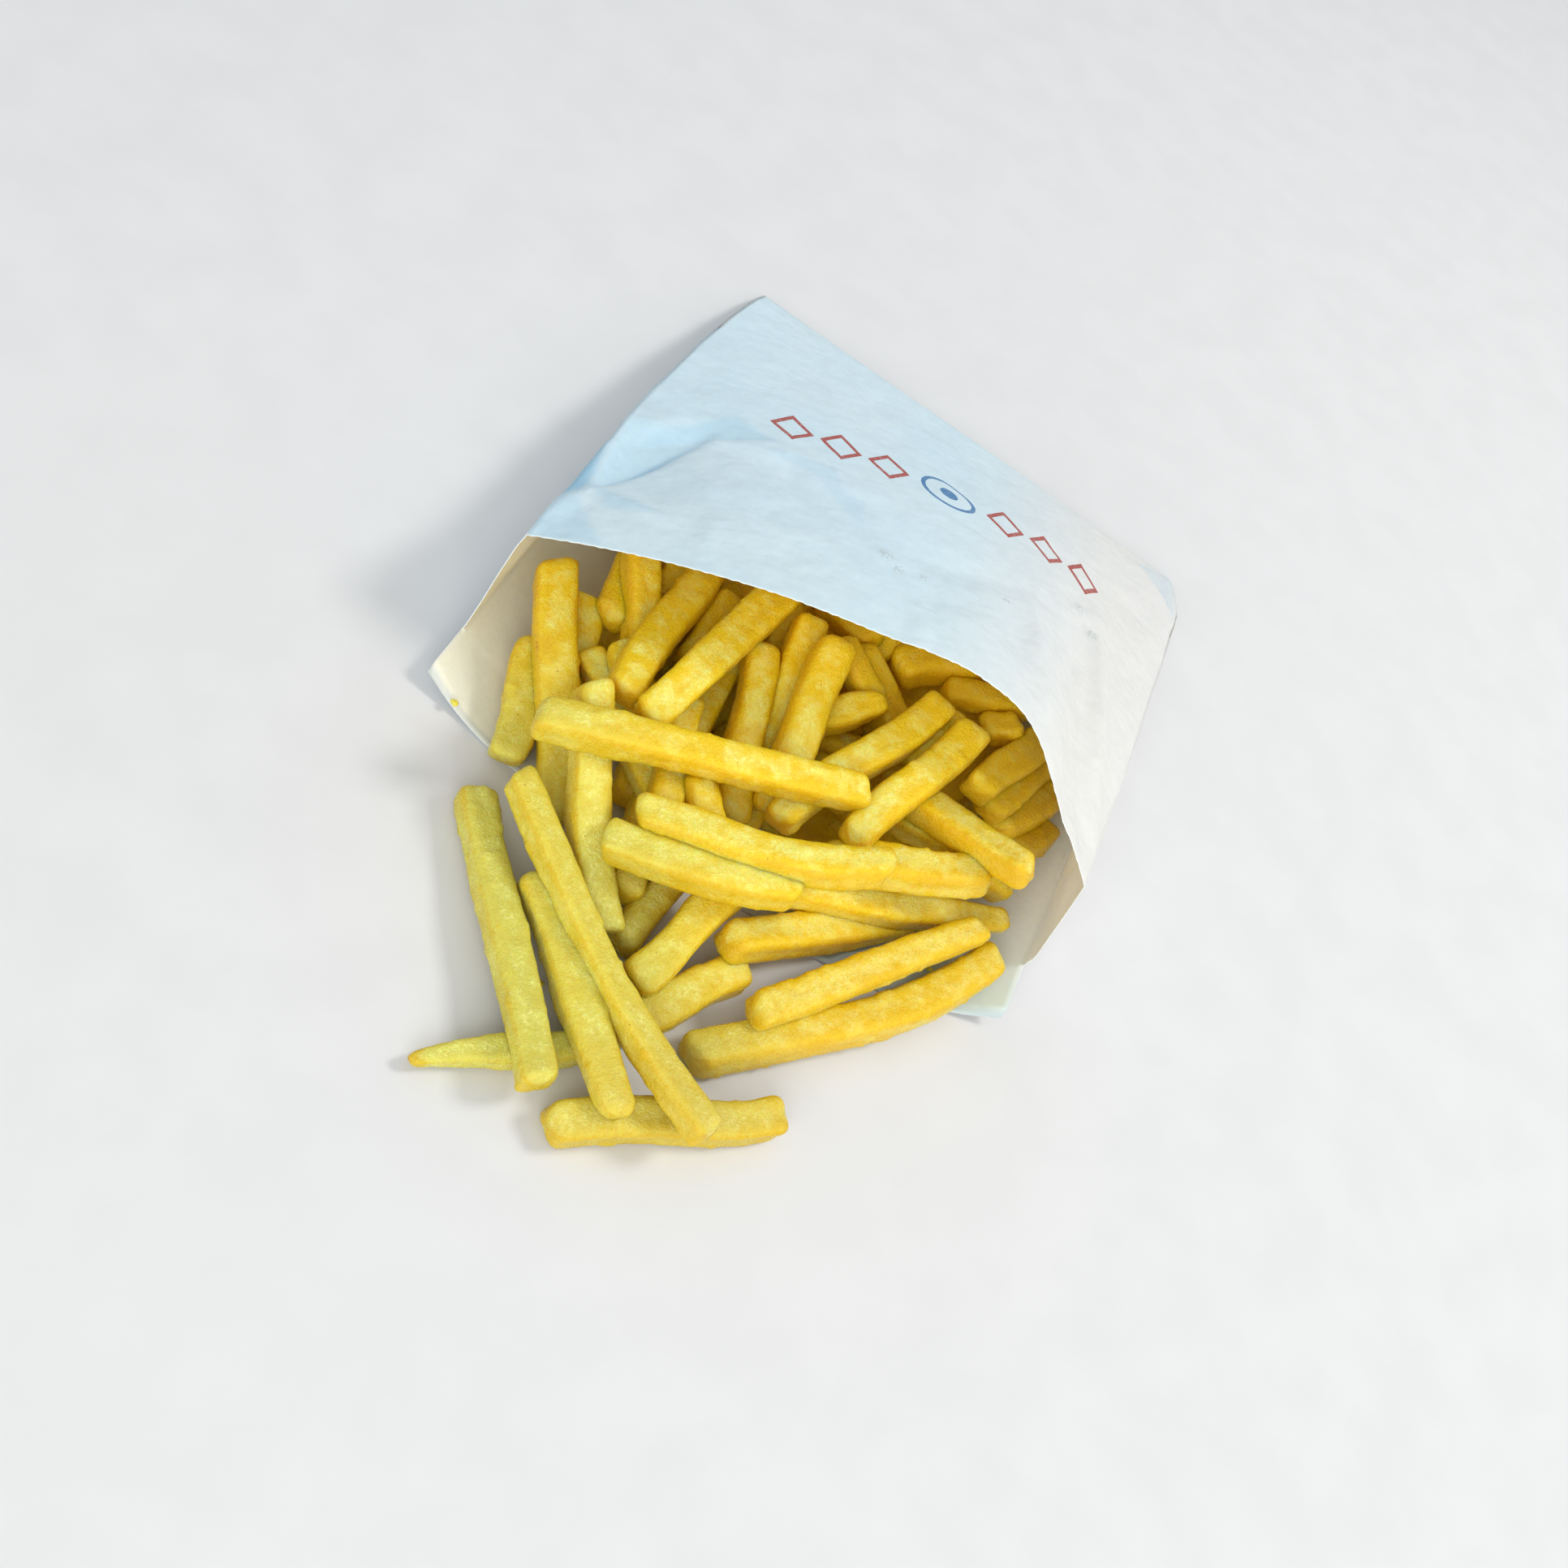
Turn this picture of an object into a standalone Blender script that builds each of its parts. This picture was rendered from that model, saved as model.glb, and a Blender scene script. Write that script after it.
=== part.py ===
# Paper bag of french fries lying on its back, its mouth open and part of the fries spilled out.
# +X is to the right looking into the mouth, +Y runs to the bag's closed end, +Z is up.
# Sizes are in millimetres until mesh_object() turns them into metres.

import math

import bmesh
import bpy
import numpy as np
from mathutils import Vector

NAME = "fries_in_paper_bag"
MILLIMETRE = 0.001

# The bag: a gusseted paper sleeve, 130 mm wide and about 165 mm long with its lip
CLOSED_Y = 130.0
PAPER = 0.5
GAP = 0.35
CLOSED_HEIGHT = 2.2
CORNER_HEIGHT = 31.0
ARCH_RISE = 22.0
ARCH_TOP_X = 15.0
ARCH_REACH_LEFT = 80.0
ARCH_REACH_RIGHT = 49.0
PANEL_BULGE = 0.25
SIDE_CURL = 5.0
CURL_LEFT = (50.0, 17.0)
CURL_RIGHT = (52.0, 15.0)
GUSSET_FOLD = 3.0
GUSSET_FOLD_END = 1.15
DENT_DEPTH = 4.0
DENT_AT = (-57.0, 30.0)
DENT_SPREAD = (11.0, 16.0)

# Plan curves of the bag as (x, y) keys: the front panel's cut, the foot of the gussets and the lip
MOUTH_CUT = ((-65, -10), (-28, -4.6), (2, 0.5), (22, 5.5), (34, 6.5), (50, -1.5), (63.5, -5))
GUSSET_FOOT = ((-67, -17), (67, -9))
LIP_EDGE = ((-68, -30), (-49, -35), (0, -34), (44, -31), (67, -23))
MEAN_FOOT_Y = -13.0
BACK_HALF_WIDTH = 68.0
# Side edges as (way from the closed end to the mouth, x) keys, for the back and the front panel
BACK_LEFT = ((0, -61), (0.12, -63), (0.5, -66), (1, -67))
BACK_RIGHT = ((0, 65), (0.12, 70), (0.5, 68.5), (1, 67))
FRONT_LEFT = ((0, -61), (0.12, -63), (0.5, -65.5), (1, -65))
FRONT_RIGHT = ((0, 65), (0.12, 70), (0.5, 67.5), (1, 63.5))

# Cells of the bag's loft
BACK_CELLS = 14
SIDE_CELLS = 4
FRONT_CELLS = 18
LENGTH_CELLS = 20
LIP_CELLS = 3

# The fries inside press on each other more than the loose ones on the table
PRESSED = 2.2
LOOSE = 1.8
FIELD_HALF = 160
FIELD = np.meshgrid(*[np.arange(-FIELD_HALF, FIELD_HALF + 1.0)] * 2, indexing="ij")
EMPTY = -1000.0
OPEN_ABOVE = 1000.0
FRY_HEIGHT = 0.94
STEEPEST = 0.45
TOUCH_SHARE = 0.92
TOUCH_LINES = 9

# Shape of one fry: bevel and end chamfer in shares of its thickness, cuts along it, start of its taper
FRY_BEVEL = 0.22
END_CHAMFER = 0.3
FRY_CUTS = (-0.25, 0, 0.25)
TAPER_FROM = 0.55

# Core of the heap: its height over the back panel as (y, height) keys
CORE_RAMP = ((-14, 0), (-8, 6), (8, 11), (22, 14), (45, 22), (60, 60))
CORE_HALF_WIDTH = 57.0
CORE_BACK_Y = 118.0
CORE_TOP = 60.0
CORE_CLEARANCE = 2.5
CORE_SLOPE_WIDTH = 16.0
CORE_INSET = 11.0
CORE_LEAST = 2.0
CORE_CELLS = (12, 14)
CORE_GRIP = 0.8
EDGE_STEP = 0.01

# Plan middle of the whole object's box, which becomes the origin
MIDDLE = (2.2127, 14.7357)

# Each fry: start x, y, end x, y, thickness, bow to the right of its heading, and pointed end share.
# They are dropped in this order, so each one rests on those before it.
TABLE_FRIES = (
    (-2, -97, 35, -70, 7.6, 0, 0.0),
    (-1, -77, -28, -100, 6.2, 0, 0.6),
    (-1, -74, 16, -47, 7.6, 0, 0.0),
    (14, -70, 60, -13, 7.6, 4, 0.0),
    (9, -48, 41, -16, 7.8, 0, 0.3),
    (-7, -58, -5, -31, 6.4, 0, 0.0),
)
UNDER_FRIES = (
    (-20, 11, -12, -50, 7.4, 2, 0.0),
    (-2, -66, 5, -38, 7.8, 0, 0.0),
)
LIP_FRIES = (
    (12, -32, 59, -5, 7.2, 1, 0.4),
    (20, -58, 53, -14, 7.4, 0, 0.2),
    (-18, -63, -1, -71, 5.9, 0, 0.0),
    (-28, -57, 8, -91, 7.6, 0, 0.2),
    (-46, -47, -7, -94, 7.3, 0, 0.0),
)
INNER_FRIES = (
    (35, 0, 56, 3, 6.8, 0, 0.0),
    (-53, -10, -45, -38, 7.7, 0, 0.0),
    (-51, 2, -38, -23, 6.5, 0, 0.0),
    (-44, -10, -12, -34, 6.0, 0, 0.0),
    (-39, 23, -34, 0, 5.7, 0, 0.0),
    (-44, -2, -48, 25, 7.0, 0, 0.0),
    (-26, 19, -26, 0, 6.3, 0, 0.0),
    (-16, 26, -5, -1, 6.7, 0, 0.0),
    (3, 24, 10, 36, 6.2, 0, 0.0),
    (5, 27, -10, 30, 6.2, 0, 0.0),
    (1, 22, 22, 13, 6.8, 0, 0.0),
    (-3, 18, 11, 13, 6.0, 0, 0.0),
    (-1, 2, 18, 8, 6.0, 0, 0.0),
    (21, 3, 25, 14, 6.7, 0, 0.0),
    (60, 27, 52, 7, 6.7, 0, 0.0),
    (57, 32, 46, 9, 7.6, 0, 0.0),
    (51, 34, 42, 7, 6.9, 0, 0.0),
    (46, 32, 37, 6, 7.4, 0, 0.0),
    (23, -2, 43, -6, 6.9, 0, 0.0),
    (21, 5, 28, 18, 7.0, 0, 0.0),
    (11, 25, 28, 41, 8.0, 0, 0.0),
    (22, 26, 41, 38, 6.4, 0, 0.0),
    (34, 25, 40, 30, 7.0, 0, 0.0),
    (-49, 17, -33, -8, 7.4, 0, 0.0),
    (-39, -8, -26, -20, 6.6, 0, 0.0),
    (-10, 19, 1, -22, 7.2, 0, 0.0),
    (-34, 27, -33, -23, 7.5, 0, 0.0),
    (6, -2, 18, -4, 6.6, 0, 0.0),
    (-22, -9, -15, -37, 6.5, 0, 0.0),
    (-16, 9, -2, -25, 7.4, 0, 0.0),
    (17, -26, 46, -11, 7.9, 0, 0.0),
    (23, 0, 52, -12, 7.4, 0, 0.0),
    (1, 2, 12, 11, 6.9, 0, 0.4),
    (-3, 14, 3, -21, 8.0, 0, 0.0),
    (-17, 23, -27, -26, 8.1, 0, 0.0),
    (-59, 1, -30, -43, 7.9, 0, 0.0),
    (-39, -25, -11, -59, 7.6, 2, 0.0),
    (-13, -27, 2, -45, 6.7, 0, 0.0),
    (22, 17, 5, -25, 7.2, 0, 0.0),
    (30, 15, 19, -22, 7.5, 0, 0.0),
    (-21, -49, 15, -39, 7.3, 1.5, 0.0),
    (-19, -42, 27, -28, 7.5, 3, 0.0),
    (-44, -40, 17, -13, 7.1, 0, 0.0),
)
TOP_FRIES = (
    (-41, -45, 23, -86, 6.1, 3, 0.0),
)


def smooth_curve(keys, x):
    """Smooth line through (x, y) keys: on each stretch the cubic with the keys' mean slopes."""
    key_x, key_y = np.array(keys, dtype=float).T
    slope = np.gradient(key_y, key_x)
    x = np.clip(x, key_x[0], key_x[-1])
    i = np.clip(np.searchsorted(key_x, x, side="right") - 1, 0, len(key_x) - 2)
    step = key_x[i + 1] - key_x[i]
    t = (x - key_x[i]) / step
    start = (1 + 2 * t) * (1 - t) ** 2 * key_y[i] + t * (1 - t) ** 2 * step * slope[i]
    end = t * t * (3 - 2 * t) * key_y[i + 1] + t * t * (t - 1) * step * slope[i + 1]
    return start + end


def mouth_height(x):
    """Height of the front panel's cut edge: a parabola, steeper to the right of its top."""
    reach = np.where(x < ARCH_TOP_X, ARCH_REACH_LEFT, ARCH_REACH_RIGHT)
    return CORNER_HEIGHT + ARCH_RISE * (1 - ((x - ARCH_TOP_X) / reach) ** 2)


def panel_rise(v):
    """Share of the mouth's height that the front panel has at v, 0 at the closed end, 1 at the mouth."""
    return v + PANEL_BULGE * v * (1 - v)


def side_curl(x, v):
    """Height of the back panel: flat in the middle, curling up towards both sides and the mouth."""
    left = np.clip((-x - CURL_LEFT[0]) / CURL_LEFT[1], 0, 1) ** 2
    right = np.clip((x - CURL_RIGHT[0]) / CURL_RIGHT[1], 0, 1) ** 2
    return SIDE_CURL * (left + right) * np.clip(v, 0, 1.2) ** 0.7


def dent(x, y):
    """Depth of the dent in the front panel by its left fold: a bell of two widths."""
    off = ((x - DENT_AT[0]) / DENT_SPREAD[0]) ** 2 + ((y - DENT_AT[1]) / DENT_SPREAD[1]) ** 2
    return DENT_DEPTH * np.exp(-off)


def front_panel(x, y):
    """Height of the front panel's outer face over (x, y), and OPEN_ABOVE where there is no panel."""
    v = (CLOSED_Y - y) / (CLOSED_Y - smooth_curve(MOUTH_CUT, x))
    way = np.clip(v, 0, 1)
    top = mouth_height(np.clip(x, FRONT_LEFT[-1][1], FRONT_RIGHT[-1][1]))
    z = CLOSED_HEIGHT + (top - CLOSED_HEIGHT) * panel_rise(way) - dent(x, y)
    between = (x > smooth_curve(FRONT_LEFT, way)) & (x < smooth_curve(FRONT_RIGHT, way))
    return np.where((v >= 0) & (v <= 1) & between, z, OPEN_ABOVE)


def ground(x, y):
    """Height that fries can lie on: the table, or the back panel where it covers the table."""
    v = (CLOSED_Y - y) / (CLOSED_Y - MEAN_FOOT_Y)
    on_paper = (y > smooth_curve(LIP_EDGE, x) - 0.5) & (y < CLOSED_Y) & (np.abs(x) < BACK_HALF_WIDTH)
    return np.where(on_paper, PAPER + GAP + side_curl(x, v), 0.0)


def core_height(x, y):
    """Height of the heap's core: a ramp along the bag, held under the front panel, low at the sides."""
    under = np.minimum(front_panel(x, y) - PAPER - CORE_CLEARANCE, CORE_TOP)
    ramp = np.interp(y, *np.array(CORE_RAMP, dtype=float).T)
    side = np.clip((CORE_HALF_WIDTH - np.abs(x)) / CORE_SLOPE_WIDTH, 0, 1) ** 0.7
    height = np.minimum(under, ramp) * side
    covered = (y < CORE_BACK_Y) & (y > CORE_RAMP[0][0])
    return np.where(covered, np.maximum(height, 0), 0)


def mesh_object(name, bm, collection):
    """Object of a bmesh given in millimetres, moved so that the whole object's middle is the origin."""
    bmesh.ops.translate(bm, verts=bm.verts, vec=(-MIDDLE[0], -MIDDLE[1], 0))
    bmesh.ops.scale(bm, verts=bm.verts, vec=(MILLIMETRE, MILLIMETRE, MILLIMETRE))
    mesh = bpy.data.meshes.new(name)
    bm.to_mesh(mesh)
    bm.free()
    obj = bpy.data.objects.new(name, mesh)
    collection.objects.link(obj)
    return obj


def material(name, colour, roughness):
    made = bpy.data.materials.new(name)
    made.use_nodes = True
    shader = made.node_tree.nodes["Principled BSDF"]
    shader.inputs["Base Color"].default_value = (*colour, 1)
    shader.inputs["Roughness"].default_value = roughness
    shader.inputs["Metallic"].default_value = 0
    return made


def apply_modifiers(obj):
    bpy.context.view_layer.objects.active = obj
    for modifier in list(obj.modifiers):
        bpy.ops.object.modifier_apply(modifier=modifier.name)


def bag_ring(v):
    """Cross-section of the sleeve at v: back panel, right gusset, front panel, left gusset."""
    across_back = np.linspace(0, 1, BACK_CELLS + 1)
    across_front = np.linspace(1, 0, FRONT_CELLS + 1)
    up = np.linspace(0, 1, SIDE_CELLS + 1)[1:-1]

    left, right = smooth_curve(BACK_LEFT, v), smooth_curve(BACK_RIGHT, v)
    x = left + (right - left) * across_back
    foot_y = np.interp(x, *np.array(GUSSET_FOOT, dtype=float).T)
    back = np.stack([x, CLOSED_Y + (foot_y - CLOSED_Y) * v, side_curl(x, v)], axis=1)

    left, right = smooth_curve(FRONT_LEFT, v), smooth_curve(FRONT_RIGHT, v)
    x = left + (right - left) * across_front
    cut_x = FRONT_LEFT[-1][1] + (FRONT_RIGHT[-1][1] - FRONT_LEFT[-1][1]) * across_front
    y = CLOSED_Y + (smooth_curve(MOUTH_CUT, cut_x) - CLOSED_Y) * v
    z = CLOSED_HEIGHT + (mouth_height(cut_x) - CLOSED_HEIGHT) * panel_rise(v) - dent(x, y)
    front = np.stack([x, y, z], axis=1)

    fold = GUSSET_FOLD * math.sin(math.pi * min(v * GUSSET_FOLD_END, 1)) * np.sin(math.pi * up)
    right_gusset = back[-1] + (front[0] - back[-1]) * up[:, None]
    right_gusset[:, 0] -= fold
    left_gusset = front[-1] + (back[0] - front[-1]) * up[:, None]
    left_gusset[:, 0] += fold
    return np.concatenate([back, right_gusset, front, left_gusset])


def build_bag(collection):
    """Loft of the sleeve's rings, closed at the back end, with the lip beyond the gussets' feet."""
    bm = bmesh.new()
    rings = []
    for v in np.linspace(0, 1, LENGTH_CELLS + 1):
        rings.append([bm.verts.new(point) for point in bag_ring(v)])
    count = len(rings[0])
    for near, far in zip(rings[:-1], rings[1:]):
        for i in range(count):
            j = (i + 1) % count
            bm.faces.new((near[i], near[j], far[j], far[i]))
    bm.faces.new(rings[0])

    edge = rings[-1][:BACK_CELLS + 1]
    for k in range(1, LIP_CELLS + 1):
        share = k / LIP_CELLS
        row = []
        for vert in rings[-1][:BACK_CELLS + 1]:
            x = vert.co.x
            y = vert.co.y + (float(smooth_curve(LIP_EDGE, x)) - vert.co.y) * share
            row.append(bm.verts.new((x, y, float(side_curl(np.array(x), 1.0)))))
        for i in range(BACK_CELLS):
            bm.faces.new((edge[i], edge[i + 1], row[i + 1], row[i]))
        edge = row

    bmesh.ops.recalc_face_normals(bm, faces=bm.faces)
    if sum(face.normal.z * face.calc_area() for face in rings[-1][1].link_faces) > 0:
        bmesh.ops.reverse_faces(bm, faces=bm.faces)
    bag = mesh_object("bag", bm, collection)
    paper = bag.modifiers.new("paper thickness", "SOLIDIFY")
    paper.thickness = PAPER * MILLIMETRE
    paper.offset = -1
    paper.use_even_offset = True
    apply_modifiers(bag)
    bag.data.materials.append(material("white paper", (0.80, 0.84, 0.86), 0.6))
    return bag


def rest(fry, firm, laid):
    """Heights of a fry's two ends on what lies under it, and the field with the fry laid.

    Over the plan between its ends, the axis is the line that touches the upper hull of the
    heights needed along it on both sides of its middle, no steeper than STEEPEST.
    """
    x0, y0, x1, y1, thick, bow, _, press = fry
    radius = thick / 2
    start = np.array([x0, y0], dtype=float)
    length = math.dist((x0, y0), (x1, y1))
    along = (np.array([x1, y1]) - start) / length
    across = np.array([along[1], -along[0]])

    way = np.linspace(0, length, max(8, int(length)))
    off = np.linspace(-TOUCH_SHARE, TOUCH_SHARE, TOUCH_LINES) * radius
    bent = off + bow * np.sin(np.pi * way / length)[:, None]
    spots = start + way[:, None, None] * along + bent[..., None] * across
    i, j = np.rint(spots + FIELD_HALF).astype(int).transpose(2, 0, 1)
    round_side = np.sqrt(radius ** 2 - off ** 2)
    need = np.maximum(firm[i, j] + radius * FRY_HEIGHT, laid[i, j] + round_side - press).max(axis=1)

    hull = []
    for s, z in zip(way, need):
        while len(hull) > 1:
            (sa, za), (sb, zb) = hull[-2:]
            if (zb - za) * (s - sa) > (z - za) * (sb - sa):
                break
            hull.pop()
        hull.append((s, z))
    after = next(k for k in range(1, len(hull)) if hull[k][0] >= length / 2)
    (sa, za), (sb, zb) = hull[after - 1], hull[after]
    tilt = min(max((zb - za) / (sb - sa), -STEEPEST), STEEPEST)
    z0 = (need - tilt * way).max()

    field_x, field_y = FIELD
    way = (field_x - x0) * along[0] + (field_y - y0) * along[1]
    off = (field_x - x0) * across[0] + (field_y - y0) * across[1]
    off = off - bow * np.sin(np.pi * np.clip(way / length, 0, 1))
    under = (way > -0.5) & (way < length + 0.5) & (np.abs(off) < radius)
    top = z0 + tilt * way + np.sqrt(np.clip(radius ** 2 - off ** 2, 0, None))
    return z0, z0 + tilt * length, np.where(under, np.maximum(laid, top), laid)


def settle(layout):
    """Heights of all fries' ends, dropped one by one on a field of 1 mm cells."""
    firm = np.maximum(ground(*FIELD), core_height(*FIELD))
    laid = np.full_like(firm, EMPTY)
    heights = []
    for fry in layout:
        z0, z1, laid = rest(fry, firm, laid)
        heights.append((z0, z1))
    return heights


def fry_mesh(bm, fry, heights):
    """One fry of about 100 triangles: a bevelled bar cut across, then tapered, bent and laid."""
    x0, y0, x1, y1, thick, bow, point, _ = fry
    start = Vector((x0, y0, heights[0]))
    end = Vector((x1, y1, heights[1]))
    length = (end - start).length
    along = (end - start).normalized()
    across = Vector((along.y, -along.x, 0)).normalized()
    up = across.cross(along)

    bmesh.ops.create_cube(bm, size=1)
    bmesh.ops.bevel(bm, geom=bm.edges[:], offset=FRY_BEVEL, segments=1, affect="EDGES")
    for vert in bm.verts:
        if abs(vert.co.x) > 0.4:
            vert.co.x = math.copysign(0.5, vert.co.x)
        else:
            vert.co.x = math.copysign(0.5 - END_CHAMFER * thick / length, vert.co.x)
    for cut in FRY_CUTS:
        bmesh.ops.bisect_plane(bm, geom=bm.verts[:] + bm.edges[:] + bm.faces[:],
                               plane_co=(cut, 0, 0), plane_no=(1, 0, 0))
    for vert in bm.verts:
        share = vert.co.x + 0.5
        size = thick * (1 - point * max(0, share - TAPER_FROM) / (1 - TAPER_FROM))
        side = vert.co.y * size + bow * math.sin(math.pi * share)
        rise = vert.co.z * size * FRY_HEIGHT
        vert.co = start + along * (share * length) + across * side + up * rise


def build_core(collection):
    """Core of the heap: a grid raised to the core's height over a flat underside."""
    bm = bmesh.new()
    half_y = (CORE_BACK_Y - CORE_RAMP[0][0]) / 2
    bmesh.ops.create_grid(bm, x_segments=CORE_CELLS[0], y_segments=CORE_CELLS[1], size=1)
    for vert in bm.verts:
        vert.co.x *= CORE_HALF_WIDTH - CORE_INSET
        vert.co.y = CORE_RAMP[0][0] + half_y * (1 + vert.co.y)
        just_inside = vert.co.y - math.copysign(EDGE_STEP, vert.co.y)
        height = float(core_height(np.array(vert.co.x), np.array(just_inside)))
        vert.co.z = max(height + CORE_GRIP, PAPER + GAP + CORE_LEAST)
    under = bmesh.ops.extrude_face_region(bm, geom=bm.faces[:])
    for item in under["geom"]:
        if isinstance(item, bmesh.types.BMVert):
            item.co.z = PAPER + GAP
    bmesh.ops.recalc_face_normals(bm, faces=bm.faces)
    return mesh_object("fries", bm, collection)


def keep_outer_body(obj):
    """Fill sealed hollows and drop loose scraps: only the body that reaches furthest in y stays."""
    bm = bmesh.new()
    bm.from_mesh(obj.data)
    unseen = set(bm.verts)
    bodies = []
    while unseen:
        edge = [unseen.pop()]
        body = set(edge)
        while edge:
            vert = edge.pop()
            near = {link.other_vert(vert) for link in vert.link_edges} - body
            body |= near
            edge.extend(near)
        unseen -= body
        bodies.append(body)
    span = [max(v.co.y for v in body) - min(v.co.y for v in body) for body in bodies]
    largest = bodies[span.index(max(span))]
    bmesh.ops.delete(bm, geom=[v for v in bm.verts if v not in largest], context="VERTS")
    bm.to_mesh(obj.data)
    bm.free()


def build_fries(collection):
    """The heap: a core with every fry that shows fused on by one Boolean union."""
    layout = []
    for fries, press in ((TABLE_FRIES, LOOSE), (UNDER_FRIES, PRESSED), (LIP_FRIES, LOOSE),
                         (INNER_FRIES, PRESSED), (TOP_FRIES, LOOSE)):
        layout.extend((*fry, press) for fry in fries)
    heap = build_core(collection)
    pieces = bpy.data.collections.new("fry pieces")
    bpy.context.scene.collection.children.link(pieces)
    for number, (fry, heights) in enumerate(zip(layout, settle(layout))):
        bm = bmesh.new()
        fry_mesh(bm, fry, heights)
        bmesh.ops.recalc_face_normals(bm, faces=bm.faces)
        mesh_object(f"fry {number + 1}", bm, pieces)
    union = heap.modifiers.new("fuse", "BOOLEAN")
    union.operation = "UNION"
    union.operand_type = "COLLECTION"
    union.collection = pieces
    apply_modifiers(heap)
    for piece in list(pieces.objects):
        bpy.data.objects.remove(piece)
    bpy.data.collections.remove(pieces)
    keep_outer_body(heap)
    heap.data.materials.append(material("fried potato", (0.82, 0.60, 0.16), 0.5))
    return heap


for old in list(bpy.data.objects):
    bpy.data.objects.remove(old)
parts = bpy.data.collections.new(NAME)
bpy.context.scene.collection.children.link(parts)
build_bag(parts)
build_fries(parts)
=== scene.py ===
# Looks of the paper bag of fries: creased paper, fries with their crust, crumbs, floor, light and camera.
# The layout repeats the part's source: bag frame in millimetres, +X to the right looking into the mouth,
# +Y to the bag's closed end, +Z up. to_metres() moves it into the row frame.

import itertools
import math

import bpy
import numpy as np
from mathutils import Matrix, Vector


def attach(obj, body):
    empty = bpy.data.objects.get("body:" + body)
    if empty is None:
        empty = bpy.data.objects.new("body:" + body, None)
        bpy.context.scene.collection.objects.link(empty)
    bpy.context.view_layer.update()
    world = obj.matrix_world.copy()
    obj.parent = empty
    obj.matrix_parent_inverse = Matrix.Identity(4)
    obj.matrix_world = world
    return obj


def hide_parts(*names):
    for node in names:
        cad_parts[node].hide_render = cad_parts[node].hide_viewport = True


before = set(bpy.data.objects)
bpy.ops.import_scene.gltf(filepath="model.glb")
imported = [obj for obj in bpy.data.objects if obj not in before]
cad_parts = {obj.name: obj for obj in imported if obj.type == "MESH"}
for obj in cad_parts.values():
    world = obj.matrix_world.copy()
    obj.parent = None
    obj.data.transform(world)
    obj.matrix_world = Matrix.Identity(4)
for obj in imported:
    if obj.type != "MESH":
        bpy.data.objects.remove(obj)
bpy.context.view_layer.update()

MILLIMETRE = 0.001
SEED = 20

# The bag, as in the part's source, but for its right side, which here is straight from key to key
CLOSED_Y = 130.0
PAPER = 0.5
GAP = 0.35
CLOSED_HEIGHT = 2.2
CORNER_HEIGHT = 31.0
ARCH_RISE = 22.0
ARCH_TOP_X = 15.0
ARCH_REACH_LEFT = 80.0
ARCH_REACH_RIGHT = 49.0
PANEL_BULGE = 0.25
SIDE_CURL = 5.0
CURL_LEFT = (50.0, 17.0)
CURL_RIGHT = (52.0, 15.0)
GUSSET_FOLD = 3.0
GUSSET_FOLD_END = 1.15
DENT_DEPTH = 4.0
DENT_AT = (-57.0, 30.0)
DENT_SPREAD = (11.0, 16.0)
MOUTH_CUT = ((-65, -10), (-28, -4.6), (2, 0.5), (22, 5.5), (34, 6.5), (50, -1.5), (63.5, -5))
GUSSET_FOOT = ((-67, -17), (67, -9))
LIP_EDGE = ((-68, -30), (-49, -35), (0, -34), (44, -31), (67, -23))
MEAN_FOOT_Y = -13.0
BACK_HALF_WIDTH = 68.0
BACK_LEFT = ((0, -61), (0.12, -63), (0.5, -66), (1, -67))
BACK_RIGHT = ((0, 65.5), (0.14, 69.8), (1, 67))
FRONT_LEFT = ((0, -61), (0.12, -63), (0.5, -65.5), (1, -65))
FRONT_RIGHT = ((0, 65.5), (0.14, 69.8), (1, 63.5))
MIDDLE = (2.2127, 14.7357)

# The paper sheet itself: its real thickness and the finer form that the solids leave out
SHEET = 0.18
CLOSED_EDGE = 0.5
PANEL_CELLS = 128
GUSSET_CELLS = 24
END_ROWS = 8
LENGTH_ROWS = 96
RIM_ROWS = 13
RIM_ROWS_FROM = 0.96
LIP_CELLS = 16
TOOTH_PITCH = 2.4
TOOTH_DEPTH = 0.3
GUSSET_CREASE = 0.9
RIM_FLARE = 1.0
RIM_FROM = 0.9
FLARE_TOP = 0.14
FLAT_END = 0.06
LIP_DROP = 0.35

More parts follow.
